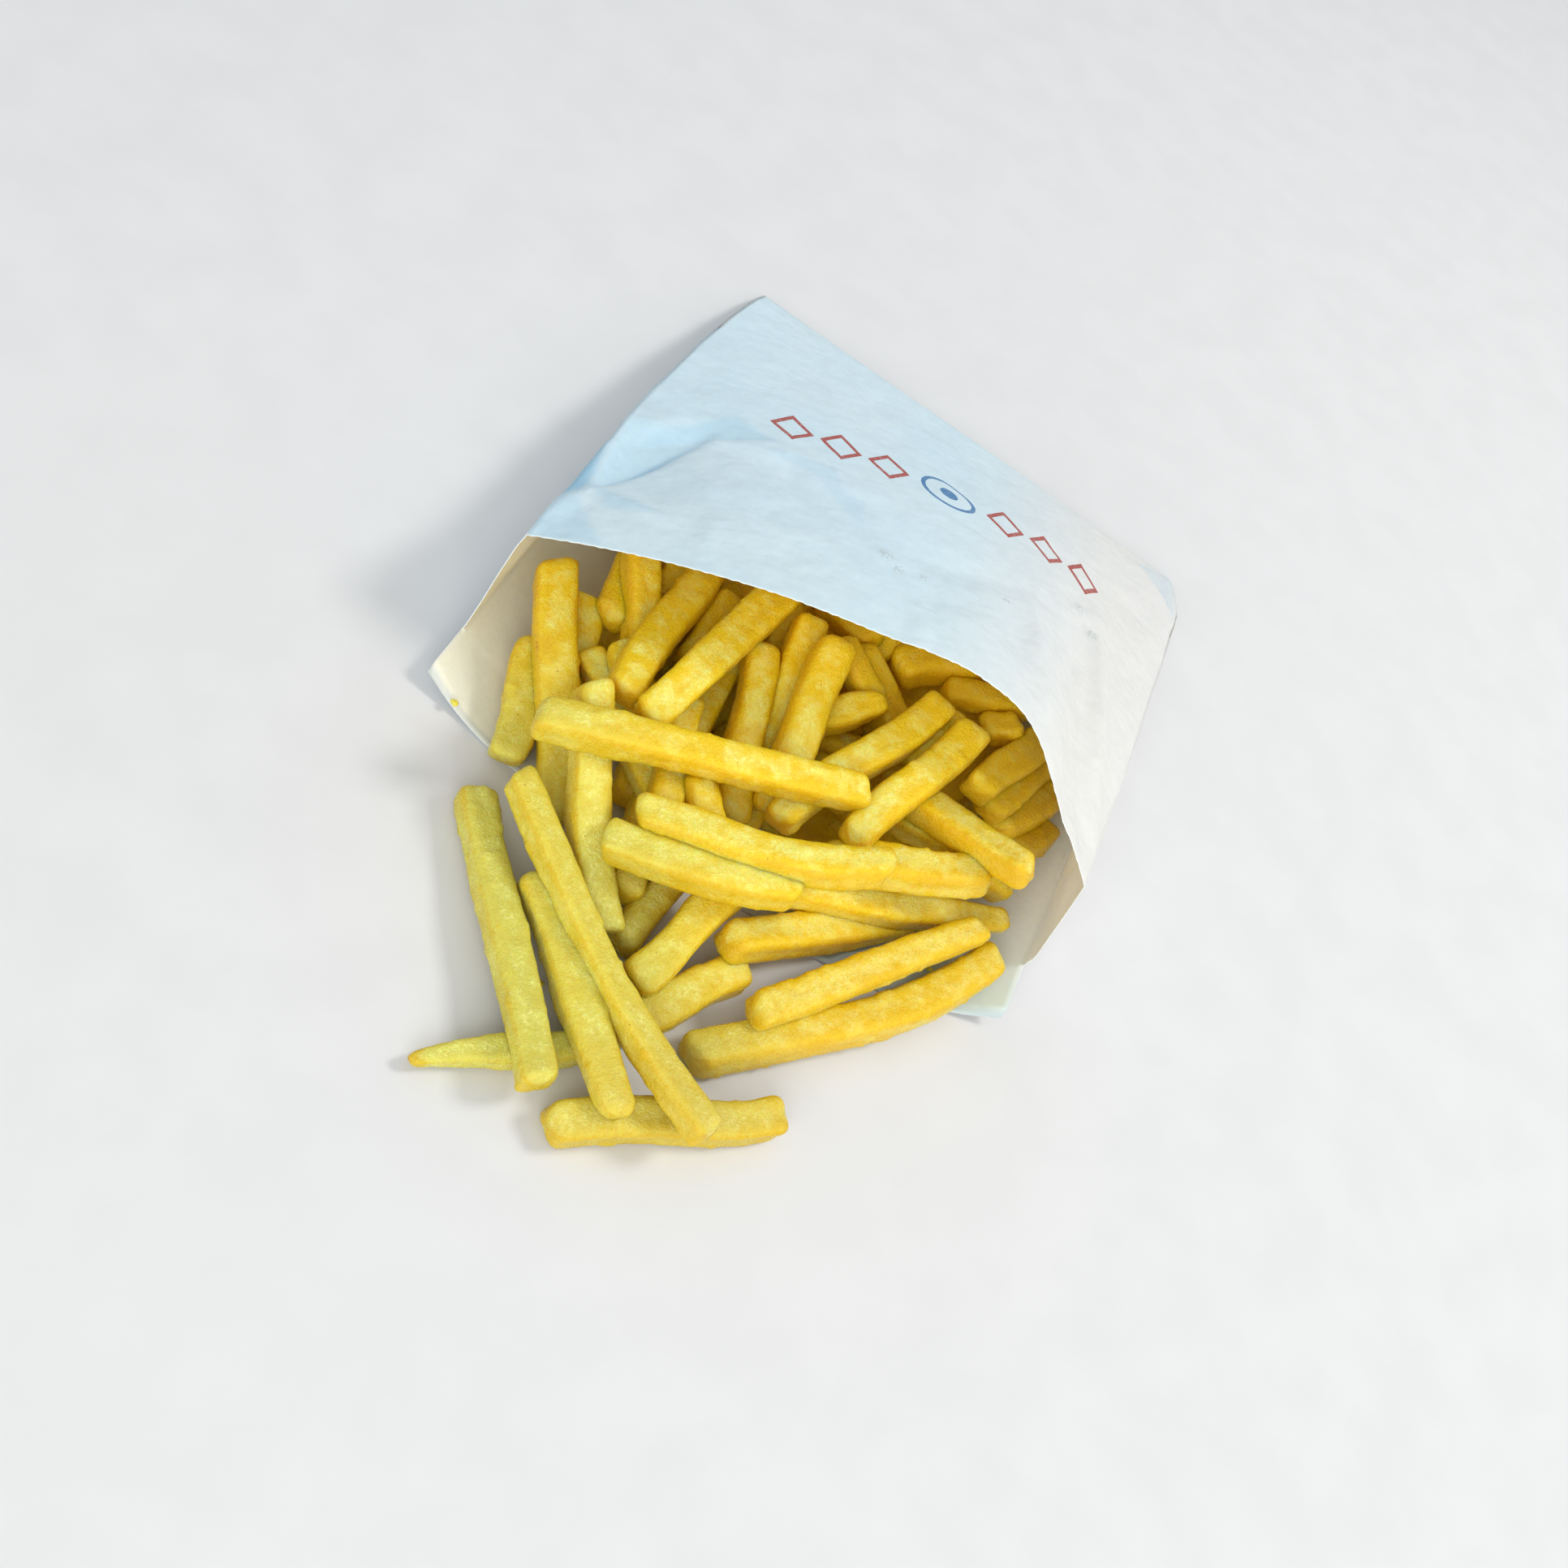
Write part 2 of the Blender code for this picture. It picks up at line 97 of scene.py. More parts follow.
# Creases in the front panel as x, y to x, y, height (a valley if negative), reach to the left and the right
CREASES = (
    (-49.6, 45.2, -61.9, 12.6, -2.0, 2.0, 9.0),
    (-65.5, 42.5, -49.6, 45.2, 1.3, 9.0, 3.2),
    (-65.0, 38.0, -61.9, 12.6, 1.4, 2.4, 3.2),
    (-61.9, 12.6, -45.0, 7.5, 0.8, 5.0, 2.6),
    (-61.9, 12.6, -66.0, -6.0, 0.9, 4.0, 3.0),
    (-49.6, 45.2, -20.0, 43.0, -0.9, 11.0, 8.0),
    (-63.0, 34.0, -40.0, 55.0, -0.8, 7.0, 2.0),
    (-40.0, 50.0, -22.0, 56.0, 0.5, 5.0, 5.0),
    (-22.0, 38.0, 8.0, 38.0, -0.6, 9.0, 7.0),
    (-30.0, 30.0, -4.0, 12.0, 0.5, 8.0, 8.0),
    (4.0, 37.0, 33.0, 57.0, -1.0, 9.0, 6.0),
    (33.0, 57.0, 45.0, 70.0, 0.7, 6.0, 4.0),
    (37.0, 66.0, 55.0, 4.0, -1.7, 8.0, 4.0),
    (46.0, 70.0, 60.0, 8.0, 1.2, 4.0, 4.0),
    (24.0, 54.0, 42.0, 8.0, 1.0, 9.0, 6.0),
    (44.0, 30.0, 52.0, -2.0, -0.8, 3.0, 3.0),
    (54.5, 122.0, 68.5, 107.0, 0.9, 1.6, 6.0),
    (-50.0, 118.0, -20.0, 96.0, 0.45, 6.0, 6.0),
    (-6.0, 31.0, 1.0, 26.0, 0.5, 2.2, 2.2),
    (-4.0, 27.0, 6.0, 30.0, -0.4, 2.0, 2.0),
    (38.0, 69.0, 46.0, 61.0, -0.5, 2.2, 2.2),
    (8.0, 4.0, 6.0, 16.0, 0.7, 3.5, 3.5),
    (-35.0, 1.0, -37.0, 12.0, 0.5, 4.0, 3.0),
)
CREASE_SCALE = 1.4

# Random creases: how many, and the ranges of their start, length, height and reach
CRUMPLES = 60
CRUMPLE_X = (-58, 62)
CRUMPLE_Y = (0, 122)
CRUMPLE_LENGTH = (8, 30)
CRUMPLE_HEIGHT = (0.12, 0.48)
CRUMPLE_REACH = (2.5, 7.0)

# Facets that the creases turn away from the light, painted in a blue shade: how soft their edge is, then
# for each its three corners and how strong its painted blue shade is
FACET_EDGE = 1.2
FACETS = (
    ((-65.5, 43.0), (-48.5, 46.2), (-61.5, 12.0), 0.24),
    ((-67.0, 40.0), (-62.2, 12.6), (-67.5, 2.0), 1.0),
    ((-67.0, 14.0), (-52.0, -7.5), (-67.0, -10.5), 0.34),
    ((-56.0, 31.0), (-48.6, 46.0), (-61.0, 13.0), 0.80),
    ((-62.0, 13.5), (-46.0, 9.5), (-56.0, 6.0), 0.35),
    ((-63.0, 35.0), (-47.0, 60.0), (-36.0, 56.0), 0.36),
    ((-40.0, 51.0), (-22.0, 57.0), (-20.0, 49.0), 0.22),
    ((-26.0, 50.0), (-14.0, 48.0), (-12.0, 38.0), 0.22),
    ((54.5, 122.0), (68.5, 107.0), (67.0, 131.0), 0.26),
)

# Scuffs: small grey marks as x, y, reach
SCUFFS = ((-5, 30, 1.6), (-1.5, 27, 1.3), (4, 30, 0.9), (40, 67.5, 1.2), (45, 62.5, 1.4), (22, 41, 0.8))

# The printed band: its middle on the front panel, its turn and the sizes of its plain shapes
PRINT_AT = (2.0, 70.0)
PRINT_TURN = 12.0
STROKE = 1.1
INK_EDGE = 0.15
RING_RADIUS = 6.6
RING_DOT = 2.3
LOZENGE_PITCH = 11.6
LOZENGE_HALF_WIDTH = 4.4
LOZENGE_HALF_HEIGHT = 6.0
LOZENGES_FROM = 9.4
LOZENGES = 3

# The fries, settled as in the part's source
PRESSED = 2.2
LOOSE = 1.8
FIELD_HALF = 160
FIELD = np.meshgrid(*[np.arange(-FIELD_HALF, FIELD_HALF + 1.0)] * 2, indexing="ij")
EMPTY = -1000.0
OPEN_ABOVE = 1000.0
FRY_HEIGHT = 0.94
STEEPEST = 0.45
TOUCH_SHARE = 0.92
TOUCH_LINES = 9
TAPER_FROM = 0.55
CORE_RAMP = ((-14, 0), (-8, 6), (8, 11), (22, 14), (45, 22), (60, 60))
CORE_HALF_WIDTH = 57.0
CORE_BACK_Y = 118.0
CORE_TOP = 60.0
CORE_CLEARANCE = 2.5
CORE_SLOPE_WIDTH = 16.0
CORE_INSET = 11.0
EDGE_STEP = 0.01

# Each fry: start x, y, end x, y, thickness, bow to the right of its heading, and pointed end share
TABLE_FRIES = (
    (-2, -97, 35, -70, 7.6, 0, 0.0),
    (-1, -77, -28, -100, 6.2, 0, 0.6),
    (-1, -74, 16, -47, 7.6, 0, 0.0),
    (14, -70, 60, -13, 7.6, 4, 0.0),
    (9, -48, 41, -16, 7.8, 0, 0.3),
    (-7, -58, -5, -31, 6.4, 0, 0.0),
)
UNDER_FRIES = (
    (-20, 11, -12, -50, 7.4, 2, 0.0),
    (-2, -66, 5, -38, 7.8, 0, 0.0),
)
LIP_FRIES = (
    (12, -32, 59, -5, 7.2, 1, 0.4),
    (20, -58, 53, -14, 7.4, 0, 0.2),
    (-18, -63, -1, -71, 5.9, 0, 0.0),
    (-28, -57, 8, -91, 7.6, 0, 0.2),
    (-46, -47, -7, -94, 7.3, 0, 0.0),
)
INNER_FRIES = (
    (35, 0, 56, 3, 6.8, 0, 0.0),
    (-53, -10, -45, -38, 7.7, 0, 0.0),
    (-51, 2, -38, -23, 6.5, 0, 0.0),
    (-44, -10, -12, -34, 6.0, 0, 0.0),
    (-39, 23, -34, 0, 5.7, 0, 0.0),
    (-44, -2, -48, 25, 7.0, 0, 0.0),
    (-26, 19, -26, 0, 6.3, 0, 0.0),
    (-16, 26, -5, -1, 6.7, 0, 0.0),
    (3, 24, 10, 36, 6.2, 0, 0.0),
    (5, 27, -10, 30, 6.2, 0, 0.0),
    (1, 22, 22, 13, 6.8, 0, 0.0),
    (-3, 18, 11, 13, 6.0, 0, 0.0),
    (-1, 2, 18, 8, 6.0, 0, 0.0),
    (21, 3, 25, 14, 6.7, 0, 0.0),
    (60, 27, 52, 7, 6.7, 0, 0.0),
    (57, 32, 46, 9, 7.6, 0, 0.0),
    (51, 34, 42, 7, 6.9, 0, 0.0),
    (46, 32, 37, 6, 7.4, 0, 0.0),
    (23, -2, 43, -6, 6.9, 0, 0.0),
    (21, 5, 28, 18, 7.0, 0, 0.0),
    (11, 25, 28, 41, 8.0, 0, 0.0),
    (22, 26, 41, 38, 6.4, 0, 0.0),
    (34, 25, 40, 30, 7.0, 0, 0.0),
    (-49, 17, -33, -8, 7.4, 0, 0.0),
    (-39, -8, -26, -20, 6.6, 0, 0.0),
    (-10, 19, 1, -22, 7.2, 0, 0.0),
    (-34, 27, -33, -23, 7.5, 0, 0.0),
    (6, -2, 18, -4, 6.6, 0, 0.0),
    (-22, -9, -15, -37, 6.5, 0, 0.0),
    (-16, 9, -2, -25, 7.4, 0, 0.0),
    (17, -26, 46, -11, 7.9, 0, 0.0),
    (23, 0, 52, -12, 7.4, 0, 0.0),
    (1, 2, 12, 11, 6.9, 0, 0.4),
    (-3, 14, 3, -21, 8.0, 0, 0.0),
    (-17, 23, -27, -26, 8.1, 0, 0.0),
    (-59, 1, -30, -43, 7.9, 0, 0.0),
    (-39, -25, -11, -59, 7.6, 2, 0.0),
    (-13, -27, 2, -45, 6.7, 0, 0.0),
    (22, 17, 5, -25, 7.2, 0, 0.0),
    (30, 15, 19, -22, 7.5, 0, 0.0),
    (-21, -49, 15, -39, 7.3, 1.5, 0.0),
    (-19, -42, 27, -28, 7.5, 3, 0.0),
    (-44, -40, 17, -13, 7.1, 0, 0.0),
)
TOP_FRIES = (
    (-41, -45, 23, -86, 6.1, 3, 0.0),
)

# The fry's surface: spacing of its rows, points round it, how full its cut ends and its section are, and
# the ranges of what differs from fry to fry, with spin and twist in degrees
ROW_STEP = 0.8
SIDES = 36
CAP_ROWS = 8
CAP_LENGTH = 0.38
CAP_POWER = (2.3, 3.3)
SECTION_POWER = (3.2, 5.2)
HOLLOW = (-0.01, 0.10)
MOST_SPIN = 11
MOST_TWIST = 16
END_SLOPE = 0.28
SAG = (-0.25, 0.45)
MOST_SWERVE = 0.8

# Lumps as the cell of their noise, its seed and their height
LUMPS = ((10.5, 8, 0.15), (3.4, 9, 0.08), (1.7, 6, 0.12))

# Least and most crust on a fry's right, upper, left and lower face, partly browning and partly painted
# shade that makes the sides and the lower face more golden than the upper one, and the way in y along which
# the tips furthest from the bag turn brown
FACE_CRUST_AND_SHADE = ((0.40, -0.10, 0.40, 0.3), (0.80, 0.12, 0.80, 0.6))
TOASTED_Y = (-98, -106)

# Fries low in the gaps at the mouth: first seed, then start x, y, end x, y, thickness, height of the axis
GAP_SEED = 190
GAP_FRIES = (
    (-29, 6, -21, -30, 7.2, 4.5),
    (-21, 0, -14, -35, 6.8, 4.4),
    (-12, 2, -6, -24, 6.6, 4.3),
)

# Fries under the ones that show: first seed, how many, their cells, the ranges that they are drawn from,
# the plan that they keep to, how far under the core's top they may sink or over it rise, their room below
# the front panel, and how far they take the tone of the shade
HIDDEN_SEED = 200
HIDDEN_TRIES = 420
HIDDEN_MOST = 64
HIDDEN_ROW_STEP = 1.6
HIDDEN_SIDES = 20
HIDDEN_THICK = (6.2, 8.0)
HIDDEN_X = (-50, 50)
HIDDEN_Y = (-10, 104)
HIDDEN_LENGTH = (26, 62)
HIDDEN_SPREAD = 0.45
HIDDEN_PRESSED = 1.2
HIDDEN_ENDS_Y = (-14, 116)
HIDDEN_HALF_WIDTH = 54
HIDDEN_DEPTH = 12
HIDDEN_OVER = 1.2
PANEL_ROOM = 0.8
HIDDEN_SHADE = 0.45

# The core as scene.py shows it: its cells, how far it is sunk under the part's core, its least height, its
# ridges of a fry's size, and its shade
CORE_ROWS = 90
CORE_COLUMNS = 84
CORE_SINK = 4.0
CORE_LEAST = 1.5
RIDGE_HEIGHT = 1.6
RIDGE_WIDTH = 2.6
CORE_SHADE = 0.5

# Crumbs: rows and points round each, how rough they are, and x, y, size on the bag's paper and on the table
CRUMB_ROWS = 7
CRUMB_SIDES = 10
CRUMB_ROUGH = 0.55
CRUMB_STRETCH = ((0.8, 0.6, 0.4), (1.4, 1.0, 0.7))
CRUMB_SPOTS = (
    (-59.5, -31.6, 1.5), (-30, -30, 1.0), (36, -27, 1.1), (44, -25, 0.8), (50, -20, 1.2),
    (57, -17, 0.8), (-16, -72, 1.2), (24, -64, 0.9), (40, -44, 1.0), (2, -81, 0.8), (-34, -62, 1.1),
)

# Camera: it looks down on the mouth, and its picture is turned so that the bag points up to the right
PICTURE = 1932
FOCAL_PIXELS = 2164.5
CAMERA_AZIMUTH = -8.0
CAMERA_ELEVATION = 50.0
CAMERA_ROLL = 40.0
CAMERA_DISTANCE = 370.0
CAMERA_TARGET = (5.0, 0.0, 0.0)
SENSOR = 36.0

# Light in metres and watts: place, width, power and colour of each lamp, what they aim at, and the room
WINDOW_LIGHT = ((0.60, 0.32, 0.88), 0.26, 4.9, (1.0, 0.985, 0.95))
FRONT_FILL = ((0.04, -1.05, 0.50), 1.1, 10.0, (1.0, 0.985, 0.94))
LIGHT_TARGET = (0, 0, 0.02)
ROOM_COLOUR = (0.93, 0.97, 1.0, 1)
ROOM_STRENGTH = 0.64
FLOOR_HALF = 3000.0
FLOOR_DROP = 0.12


def to_metres(points):
    """Row frame in metres = (bag frame in millimetres - the middle of the whole object's box) / 1000."""
    return (np.asarray(points, dtype=float) - (*MIDDLE, 0.0)) * MILLIMETRE


def smooth_curve(keys, x):
    """Smooth line through (x, y) keys: on each stretch the cubic with the keys' mean slopes."""
    key_x, key_y = np.array(keys, dtype=float).T
    slope = np.gradient(key_y, key_x)
    x = np.clip(x, key_x[0], key_x[-1])
    i = np.clip(np.searchsorted(key_x, x, side="right") - 1, 0, len(key_x) - 2)
    step = key_x[i + 1] - key_x[i]
    t = (x - key_x[i]) / step
    start = (1 + 2 * t) * (1 - t) ** 2 * key_y[i] + t * (1 - t) ** 2 * step * slope[i]
    end = t * t * (3 - 2 * t) * key_y[i + 1] + t * t * (t - 1) * step * slope[i + 1]
    return start + end


def smooth_step(low, high, x):
    """3 t^2 - 2 t^3 with t = (x - low) / (high - low), held between 0 and 1."""
    t = np.clip((x - low) / (high - low), 0, 1)
    return t * t * (3 - 2 * t)


def noise(points, cell, seed):
    """Smooth noise from -1 to 1: random values on a lattice of that cell, blended by smooth steps."""
    lattice = np.random.default_rng(seed).uniform(-1, 1, (31, 31, 31))
    scaled = np.asarray(points) / cell
    base = np.floor(scaled).astype(int)
    part = scaled - base
    part = part * part * (3 - 2 * part)
    total = np.zeros(scaled.shape[:-1])
    for corner in itertools.product((0, 1), repeat=3):
        index = (base + np.array(corner)) % 31
        weight = np.where(corner, part, 1 - part).prod(axis=-1)
        total += weight * lattice[index[..., 0], index[..., 1], index[..., 2]]
    return total


def make_piece(name, points, faces, materials, attributes=(), smooth=True):
    """Mesh object from points in the bag frame and faces, with float attributes given as (name, values)."""
    mesh = bpy.data.meshes.new(name)
    mesh.from_pydata(to_metres(points).tolist(), [], faces)
    for key, values in attributes:
        layer = mesh.attributes.new(key, "FLOAT", "POINT")
        layer.data.foreach_set("value", np.asarray(values, dtype=np.float32).ravel())
    mesh.polygons.foreach_set("use_smooth", np.full(len(mesh.polygons), smooth))
    for item in materials:
        mesh.materials.append(item)
    mesh.validate()
    mesh.update()
    piece = bpy.data.objects.new(name, mesh)
    bpy.context.scene.collection.objects.link(piece)
    return piece


def grid_faces(index, flip=False):
    """Four-sided faces between the rows and columns of a grid of point numbers, turned over if flip."""
    a, b, c, d = index[:-1, :-1], index[:-1, 1:], index[1:, 1:], index[1:, :-1]
    corners = (a, d, c, b) if flip else (a, b, c, d)
    return np.stack(corners, axis=-1).reshape(-1, 4).tolist()


def close_rings(index):
    """Grid of point numbers whose rows run round and end where they began."""
    return np.hstack([index, index[:, :1]])


def closed_tube(rings, poles, flip=False):
    """Points and faces of a tube of rings whose two ends meet in poles, its faces turned over if flip."""
    rows, count = rings.shape[:2]
    index = close_rings(np.arange(rows * count).reshape(rows, count))
    faces = grid_faces(index, flip)
    for pole, ring, turned in ((rows * count, index[0], not flip), (rows * count + 1, index[-1], flip)):
        for a, b in zip(ring.tolist(), ring[1:].tolist()):
            faces.append((pole, b, a) if turned else (pole, a, b))
    return np.concatenate([rings.reshape(-1, 3), poles]), faces


def join_surfaces(surfaces):
    """Points, faces and values of several (points, faces, values) surfaces as one."""
    points = np.concatenate([surface[0] for surface in surfaces])
    values = np.concatenate([surface[2] for surface in surfaces])
    starts = np.cumsum([0] + [len(surface[0]) for surface in surfaces[:-1]])
    faces = []
    for start, surface in zip(starts, surfaces):
        faces.extend([tuple(int(start + index) for index in face) for face in surface[1]])
    return points, faces, values


class Graph:
    """A material's node tree with short calls for the nodes that the finishes use."""

    def __init__(self, name):
        self.material = bpy.data.materials.new(name)
        self.material.use_nodes = True
        self.tree = self.material.node_tree
        self.shader = self.tree.nodes["Principled BSDF"]

    def node(self, kind, **settings):
        """A new node of that kind with its settings."""
        made = self.tree.nodes.new(kind)
        for key, value in settings.items():
            setattr(made, key, value)
        return made

    def join(self, source, target):
        """Links a socket, or sets a plain value, on the target socket."""
        if isinstance(source, bpy.types.NodeSocket):
            self.tree.links.new(source, target)
        else:
            target.default_value = source

    def value(self, operation, first, second=0.0, clamp=False):
        """A sum, product or other operation on sockets or numbers."""
        made = self.node("ShaderNodeMath", operation=operation, use_clamp=clamp)
        for source, target in zip((first, second), made.inputs):
            self.join(source, target)
        return made.outputs[0]

    def product(self, first, second):
        """First times second, each a socket or a number."""
        return self.value("MULTIPLY", first, second)

    def ramp(self, source, low, high, to_low=0.0, to_high=1.0):
        """Smooth change from to_low to to_high as source goes from low to high."""
        made = self.node("ShaderNodeMapRange", interpolation_type="SMOOTHSTEP")
        for item, target in zip((source, low, high, to_low, to_high), made.inputs):
            self.join(item, target)
        return made.outputs[0]

    def mix(self, factor, first, second):
        """Colour from the first to the second as the factor goes from 0 to 1."""
        made = self.node("ShaderNodeMix", data_type="RGBA")
        self.join(factor, made.inputs[0])
        for source, target in zip((first, second), (made.inputs[6], made.inputs[7])):
            self.join((*source, 1.0) if isinstance(source, tuple) else source, target)
        return made.outputs[2]

    def layer(self, colour, mask, strength, tone):
        """The colour with a tone over it where the mask says, at that strength."""
        return self.mix(self.product(mask, strength), colour, tone)

    def noise(self, scale, detail=2.0, roughness=0.5, stretch=(1, 1, 1)):
        """Noise on object coordinates, scale in cells to the metre."""
        place = self.node("ShaderNodeTexCoord").outputs["Object"]
        spread = self.node("ShaderNodeMapping")
        spread.inputs["Scale"].default_value = stretch
        self.join(place, spread.inputs["Vector"])
        made = self.node("ShaderNodeTexNoise")
        self.join(spread.outputs[0], made.inputs["Vector"])
        made.inputs["Scale"].default_value = scale
        made.inputs["Detail"].default_value = detail
        made.inputs["Roughness"].default_value = roughness
        return made.outputs["Fac"]

    def attribute(self, name):
        """One of the mesh's own attributes."""
        return self.node("ShaderNodeAttribute", attribute_name=name).outputs["Fac"]

    def place(self):
        """Object coordinates as x and y sockets."""
        split = self.node("ShaderNodeSeparateXYZ")
        self.join(self.node("ShaderNodeTexCoord").outputs["Object"], split.inputs[0])
        return split.outputs[0], split.outputs[1]

    def relief(self, heights):
        """Chain of bumps from (height socket, strength, distance) rows into the shader's normal."""
        normal = None
        for height, strength, distance in heights:
            bump = self.node("ShaderNodeBump")
            bump.inputs["Strength"].default_value = strength
            bump.inputs["Distance"].default_value = distance
            self.join(height, bump.inputs["Height"])
            if normal is not None:
                self.join(normal, bump.inputs["Normal"])
            normal = bump.outputs[0]
        self.join(normal, self.shader.inputs["Normal"])

    def set(self, **sockets):
        """Values or links for the shader's sockets, named with underscores for spaces."""
        for name, value in sockets.items():
            self.join(value, self.shader.inputs[name.replace("_", " ")])


# Finishes


def print_masks(graph):
    """Red and blue masks on the front panel: a ring with a dot between two rows of plain lozenges.

    With u along the band and w across it: ring = | |(u, w)| - radius | < half a stroke. With p the
    way of |u| into its pitch from the middle, a lozenge's line is where |p| / half width +
    |w| / half height is 1, to half a stroke.
    """
    cosine, sine = math.cos(math.radians(PRINT_TURN)), math.sin(math.radians(PRINT_TURN))
    x = graph.value("SUBTRACT", graph.attribute("across"), PRINT_AT[0])
    y = graph.value("SUBTRACT", graph.attribute("along"), PRINT_AT[1])
    u = graph.value("ADD", graph.product(x, cosine), graph.product(y, sine))
    w = graph.value("SUBTRACT", graph.product(y, cosine), graph.product(x, sine))
    far = graph.value("SQRT", graph.value("ADD", graph.product(u, u), graph.product(w, w)))
    off_ring = graph.value("ABSOLUTE", graph.value("SUBTRACT", far, RING_RADIUS))
    ring = graph.ramp(off_ring, STROKE * 0.45, STROKE * 0.45 + INK_EDGE, 1.0, 0.0)
    dot = graph.ramp(far, RING_DOT, RING_DOT + INK_EDGE, 1.0, 0.0)
    blue = graph.value("MAXIMUM", ring, dot)

    half_pitch = LOZENGE_PITCH / 2
    from_start = graph.value("SUBTRACT", graph.value("ABSOLUTE", u), LOZENGES_FROM)
    into_pitch = graph.value("PINGPONG", graph.value("SUBTRACT", from_start, half_pitch), half_pitch)
    wide = graph.value("DIVIDE", into_pitch, LOZENGE_HALF_WIDTH)
    tall = graph.value("DIVIDE", graph.value("ABSOLUTE", w), LOZENGE_HALF_HEIGHT)
    line = graph.value("ABSOLUTE", graph.value("SUBTRACT", graph.value("ADD", wide, tall), 1.0))
    half = STROKE * 0.5 * math.hypot(1 / LOZENGE_HALF_WIDTH, 1 / LOZENGE_HALF_HEIGHT)
    outline = graph.ramp(line, half, half + 0.03, 1.0, 0.0)
    reach = LOZENGES * LOZENGE_PITCH
    before_end = graph.ramp(from_start, reach - 0.1, reach, 1.0, 0.0)
    inside = graph.product(graph.ramp(from_start, 0.0, 0.1), before_end)
    front = graph.ramp(graph.attribute("front"), 0.9, 0.99)
    return graph.product(graph.product(outline, inside), front), graph.product(blue, front)


def paper_outside():
    """White wrapping paper: painted bluish shade to the left and painted warm light to the right, painted
    blue shade on crease facets turned from the light and along the lip's curled edge, faint fibres, scuffs
    and the print.
    """
    graph = Graph("white bag paper")
    x, _ = graph.place()
    # Painted light: the paper goes from a bluish painted shade on the left to a warm painted light on the
    # right, and the mottle's darker colour follows the same change
    warm = graph.ramp(x, -0.005, 0.05)
    colour = graph.mix(warm, (0.625, 0.80, 0.885), (0.785, 0.77, 0.73))
    cloud = graph.ramp(graph.noise(34, 3, 0.55), 0.35, 0.7)
    colour = graph.layer(colour, cloud, 0.12, (0.90, 0.91, 0.90))
    mottle = graph.ramp(graph.noise(260, 4, 0.65), 0.36, 0.66)
    shadow = graph.mix(warm, (0.50, 0.66, 0.73), (0.68, 0.68, 0.65))
    colour = graph.layer(colour, mottle, 0.22, shadow)
    fibre = graph.ramp(graph.noise(900, 3, 0.6, (1, 0.35, 1)), 0.3, 0.72)
    colour = graph.layer(colour, fibre, 0.07, (0.62, 0.66, 0.66))
    # Painted shade: blue on the facets that the creases turn away from the light, from the mesh's dent
    # attribute
    colour = graph.layer(colour, graph.attribute("dent"), 0.9, (0.30, 0.57, 0.78))
    scuff = graph.product(graph.attribute("scuff"), graph.ramp(graph.noise(1500, 2), 0.45, 0.55))
    colour = graph.layer(colour, scuff, 0.7, (0.42, 0.48, 0.46))
    # Painted shade: grey-blue along the lip's edge, where the paper curls down away from the light
    colour = graph.layer(colour, graph.attribute("band"), 0.6, (0.42, 0.51, 0.57))
    red, blue = print_masks(graph)
    worn = graph.ramp(graph.noise(1100, 3, 0.6), 0.28, 0.5, 0.72, 1.0)
    colour = graph.layer(colour, red, worn, (0.40, 0.085, 0.07))
    colour = graph.layer(colour, blue, worn, (0.07, 0.21, 0.42))
    graph.set(Base_Color=colour, Roughness=graph.ramp(fibre, 0.0, 1.0, 0.52, 0.66), Specular_IOR_Level=0.35,
              Subsurface_Weight=0.25, Subsurface_Radius=(1.0, 0.88, 0.68), Subsurface_Scale=0.0008)
    graph.relief(((graph.noise(55, 3, 0.6), 0.6, 0.0025), (graph.noise(420, 3, 0.6), 0.5, 0.00022),
                  (graph.noise(2600, 2, 0.6), 0.35, 0.00005)))
    return graph.material


def paper_inside():
    """The paper's inner face: painted cream for the warm light that the fries throw on it, yellower to the
    left, with painted shade deeper in the bag and a painted cool tone of the bluish room light on the lip's
    right.
    """
    graph = Graph("bag inside painted warm by the fries")
    x, y = graph.place()
    # Painted light and shade: cream where the fries light the paper, yellower to the left, a little darker
    # and more orange deeper in the bag, and a cool grey-blue tone of the room light on the lip's right
    deep_shade = graph.ramp(y, -0.012, 0.045)
    warmth = graph.ramp(x, -0.03, 0.05)
    lit = graph.mix(warmth, (0.99, 0.90, 0.68), (0.99, 0.98, 0.90))
    colour = graph.mix(deep_shade, lit, (0.99, 0.88, 0.66))
    cool = graph.product(graph.attribute("bottom"), graph.ramp(y, -0.040, 0.0, 0.95, 0.0))
    cool = graph.product(cool, graph.ramp(x, -0.01, 0.03))
    colour = graph.mix(cool, colour, (0.54, 0.66, 0.64))
    fibre = graph.ramp(graph.noise(700, 3, 0.6), 0.3, 0.72)
    colour = graph.layer(colour, fibre, 0.12, (0.66, 0.60, 0.50))
    # Painted shade: grey-blue along the lip's edge, where the paper curls down away from the light
    colour = graph.layer(colour, graph.attribute("band"), 0.6, (0.42, 0.51, 0.57))
    graph.set(Base_Color=colour, Roughness=0.6, Specular_IOR_Level=0.3,
              Subsurface_Weight=0.8, Subsurface_Radius=(1.0, 0.88, 0.68), Subsurface_Scale=0.0008)
    graph.relief(((graph.noise(90, 3, 0.6), 0.3, 0.0008), (graph.noise(1400, 2, 0.6), 0.2, 0.00005)))
    return graph.material


def paper_edge():
    """The sheet's cut edge: painted brighter than its faces as a highlight along it, with a fine torn
    grain.
    """
    graph = Graph("cut paper edge")
    grain = graph.ramp(graph.noise(2200, 2, 0.6), 0.3, 0.7)
    # Painted highlight: the cut edge is lighter than the paper's faces
    colour = graph.mix(grain, (0.68, 0.74, 0.76), (0.88, 0.90, 0.90))
    graph.set(Base_Color=colour, Roughness=0.7)
    return graph.material


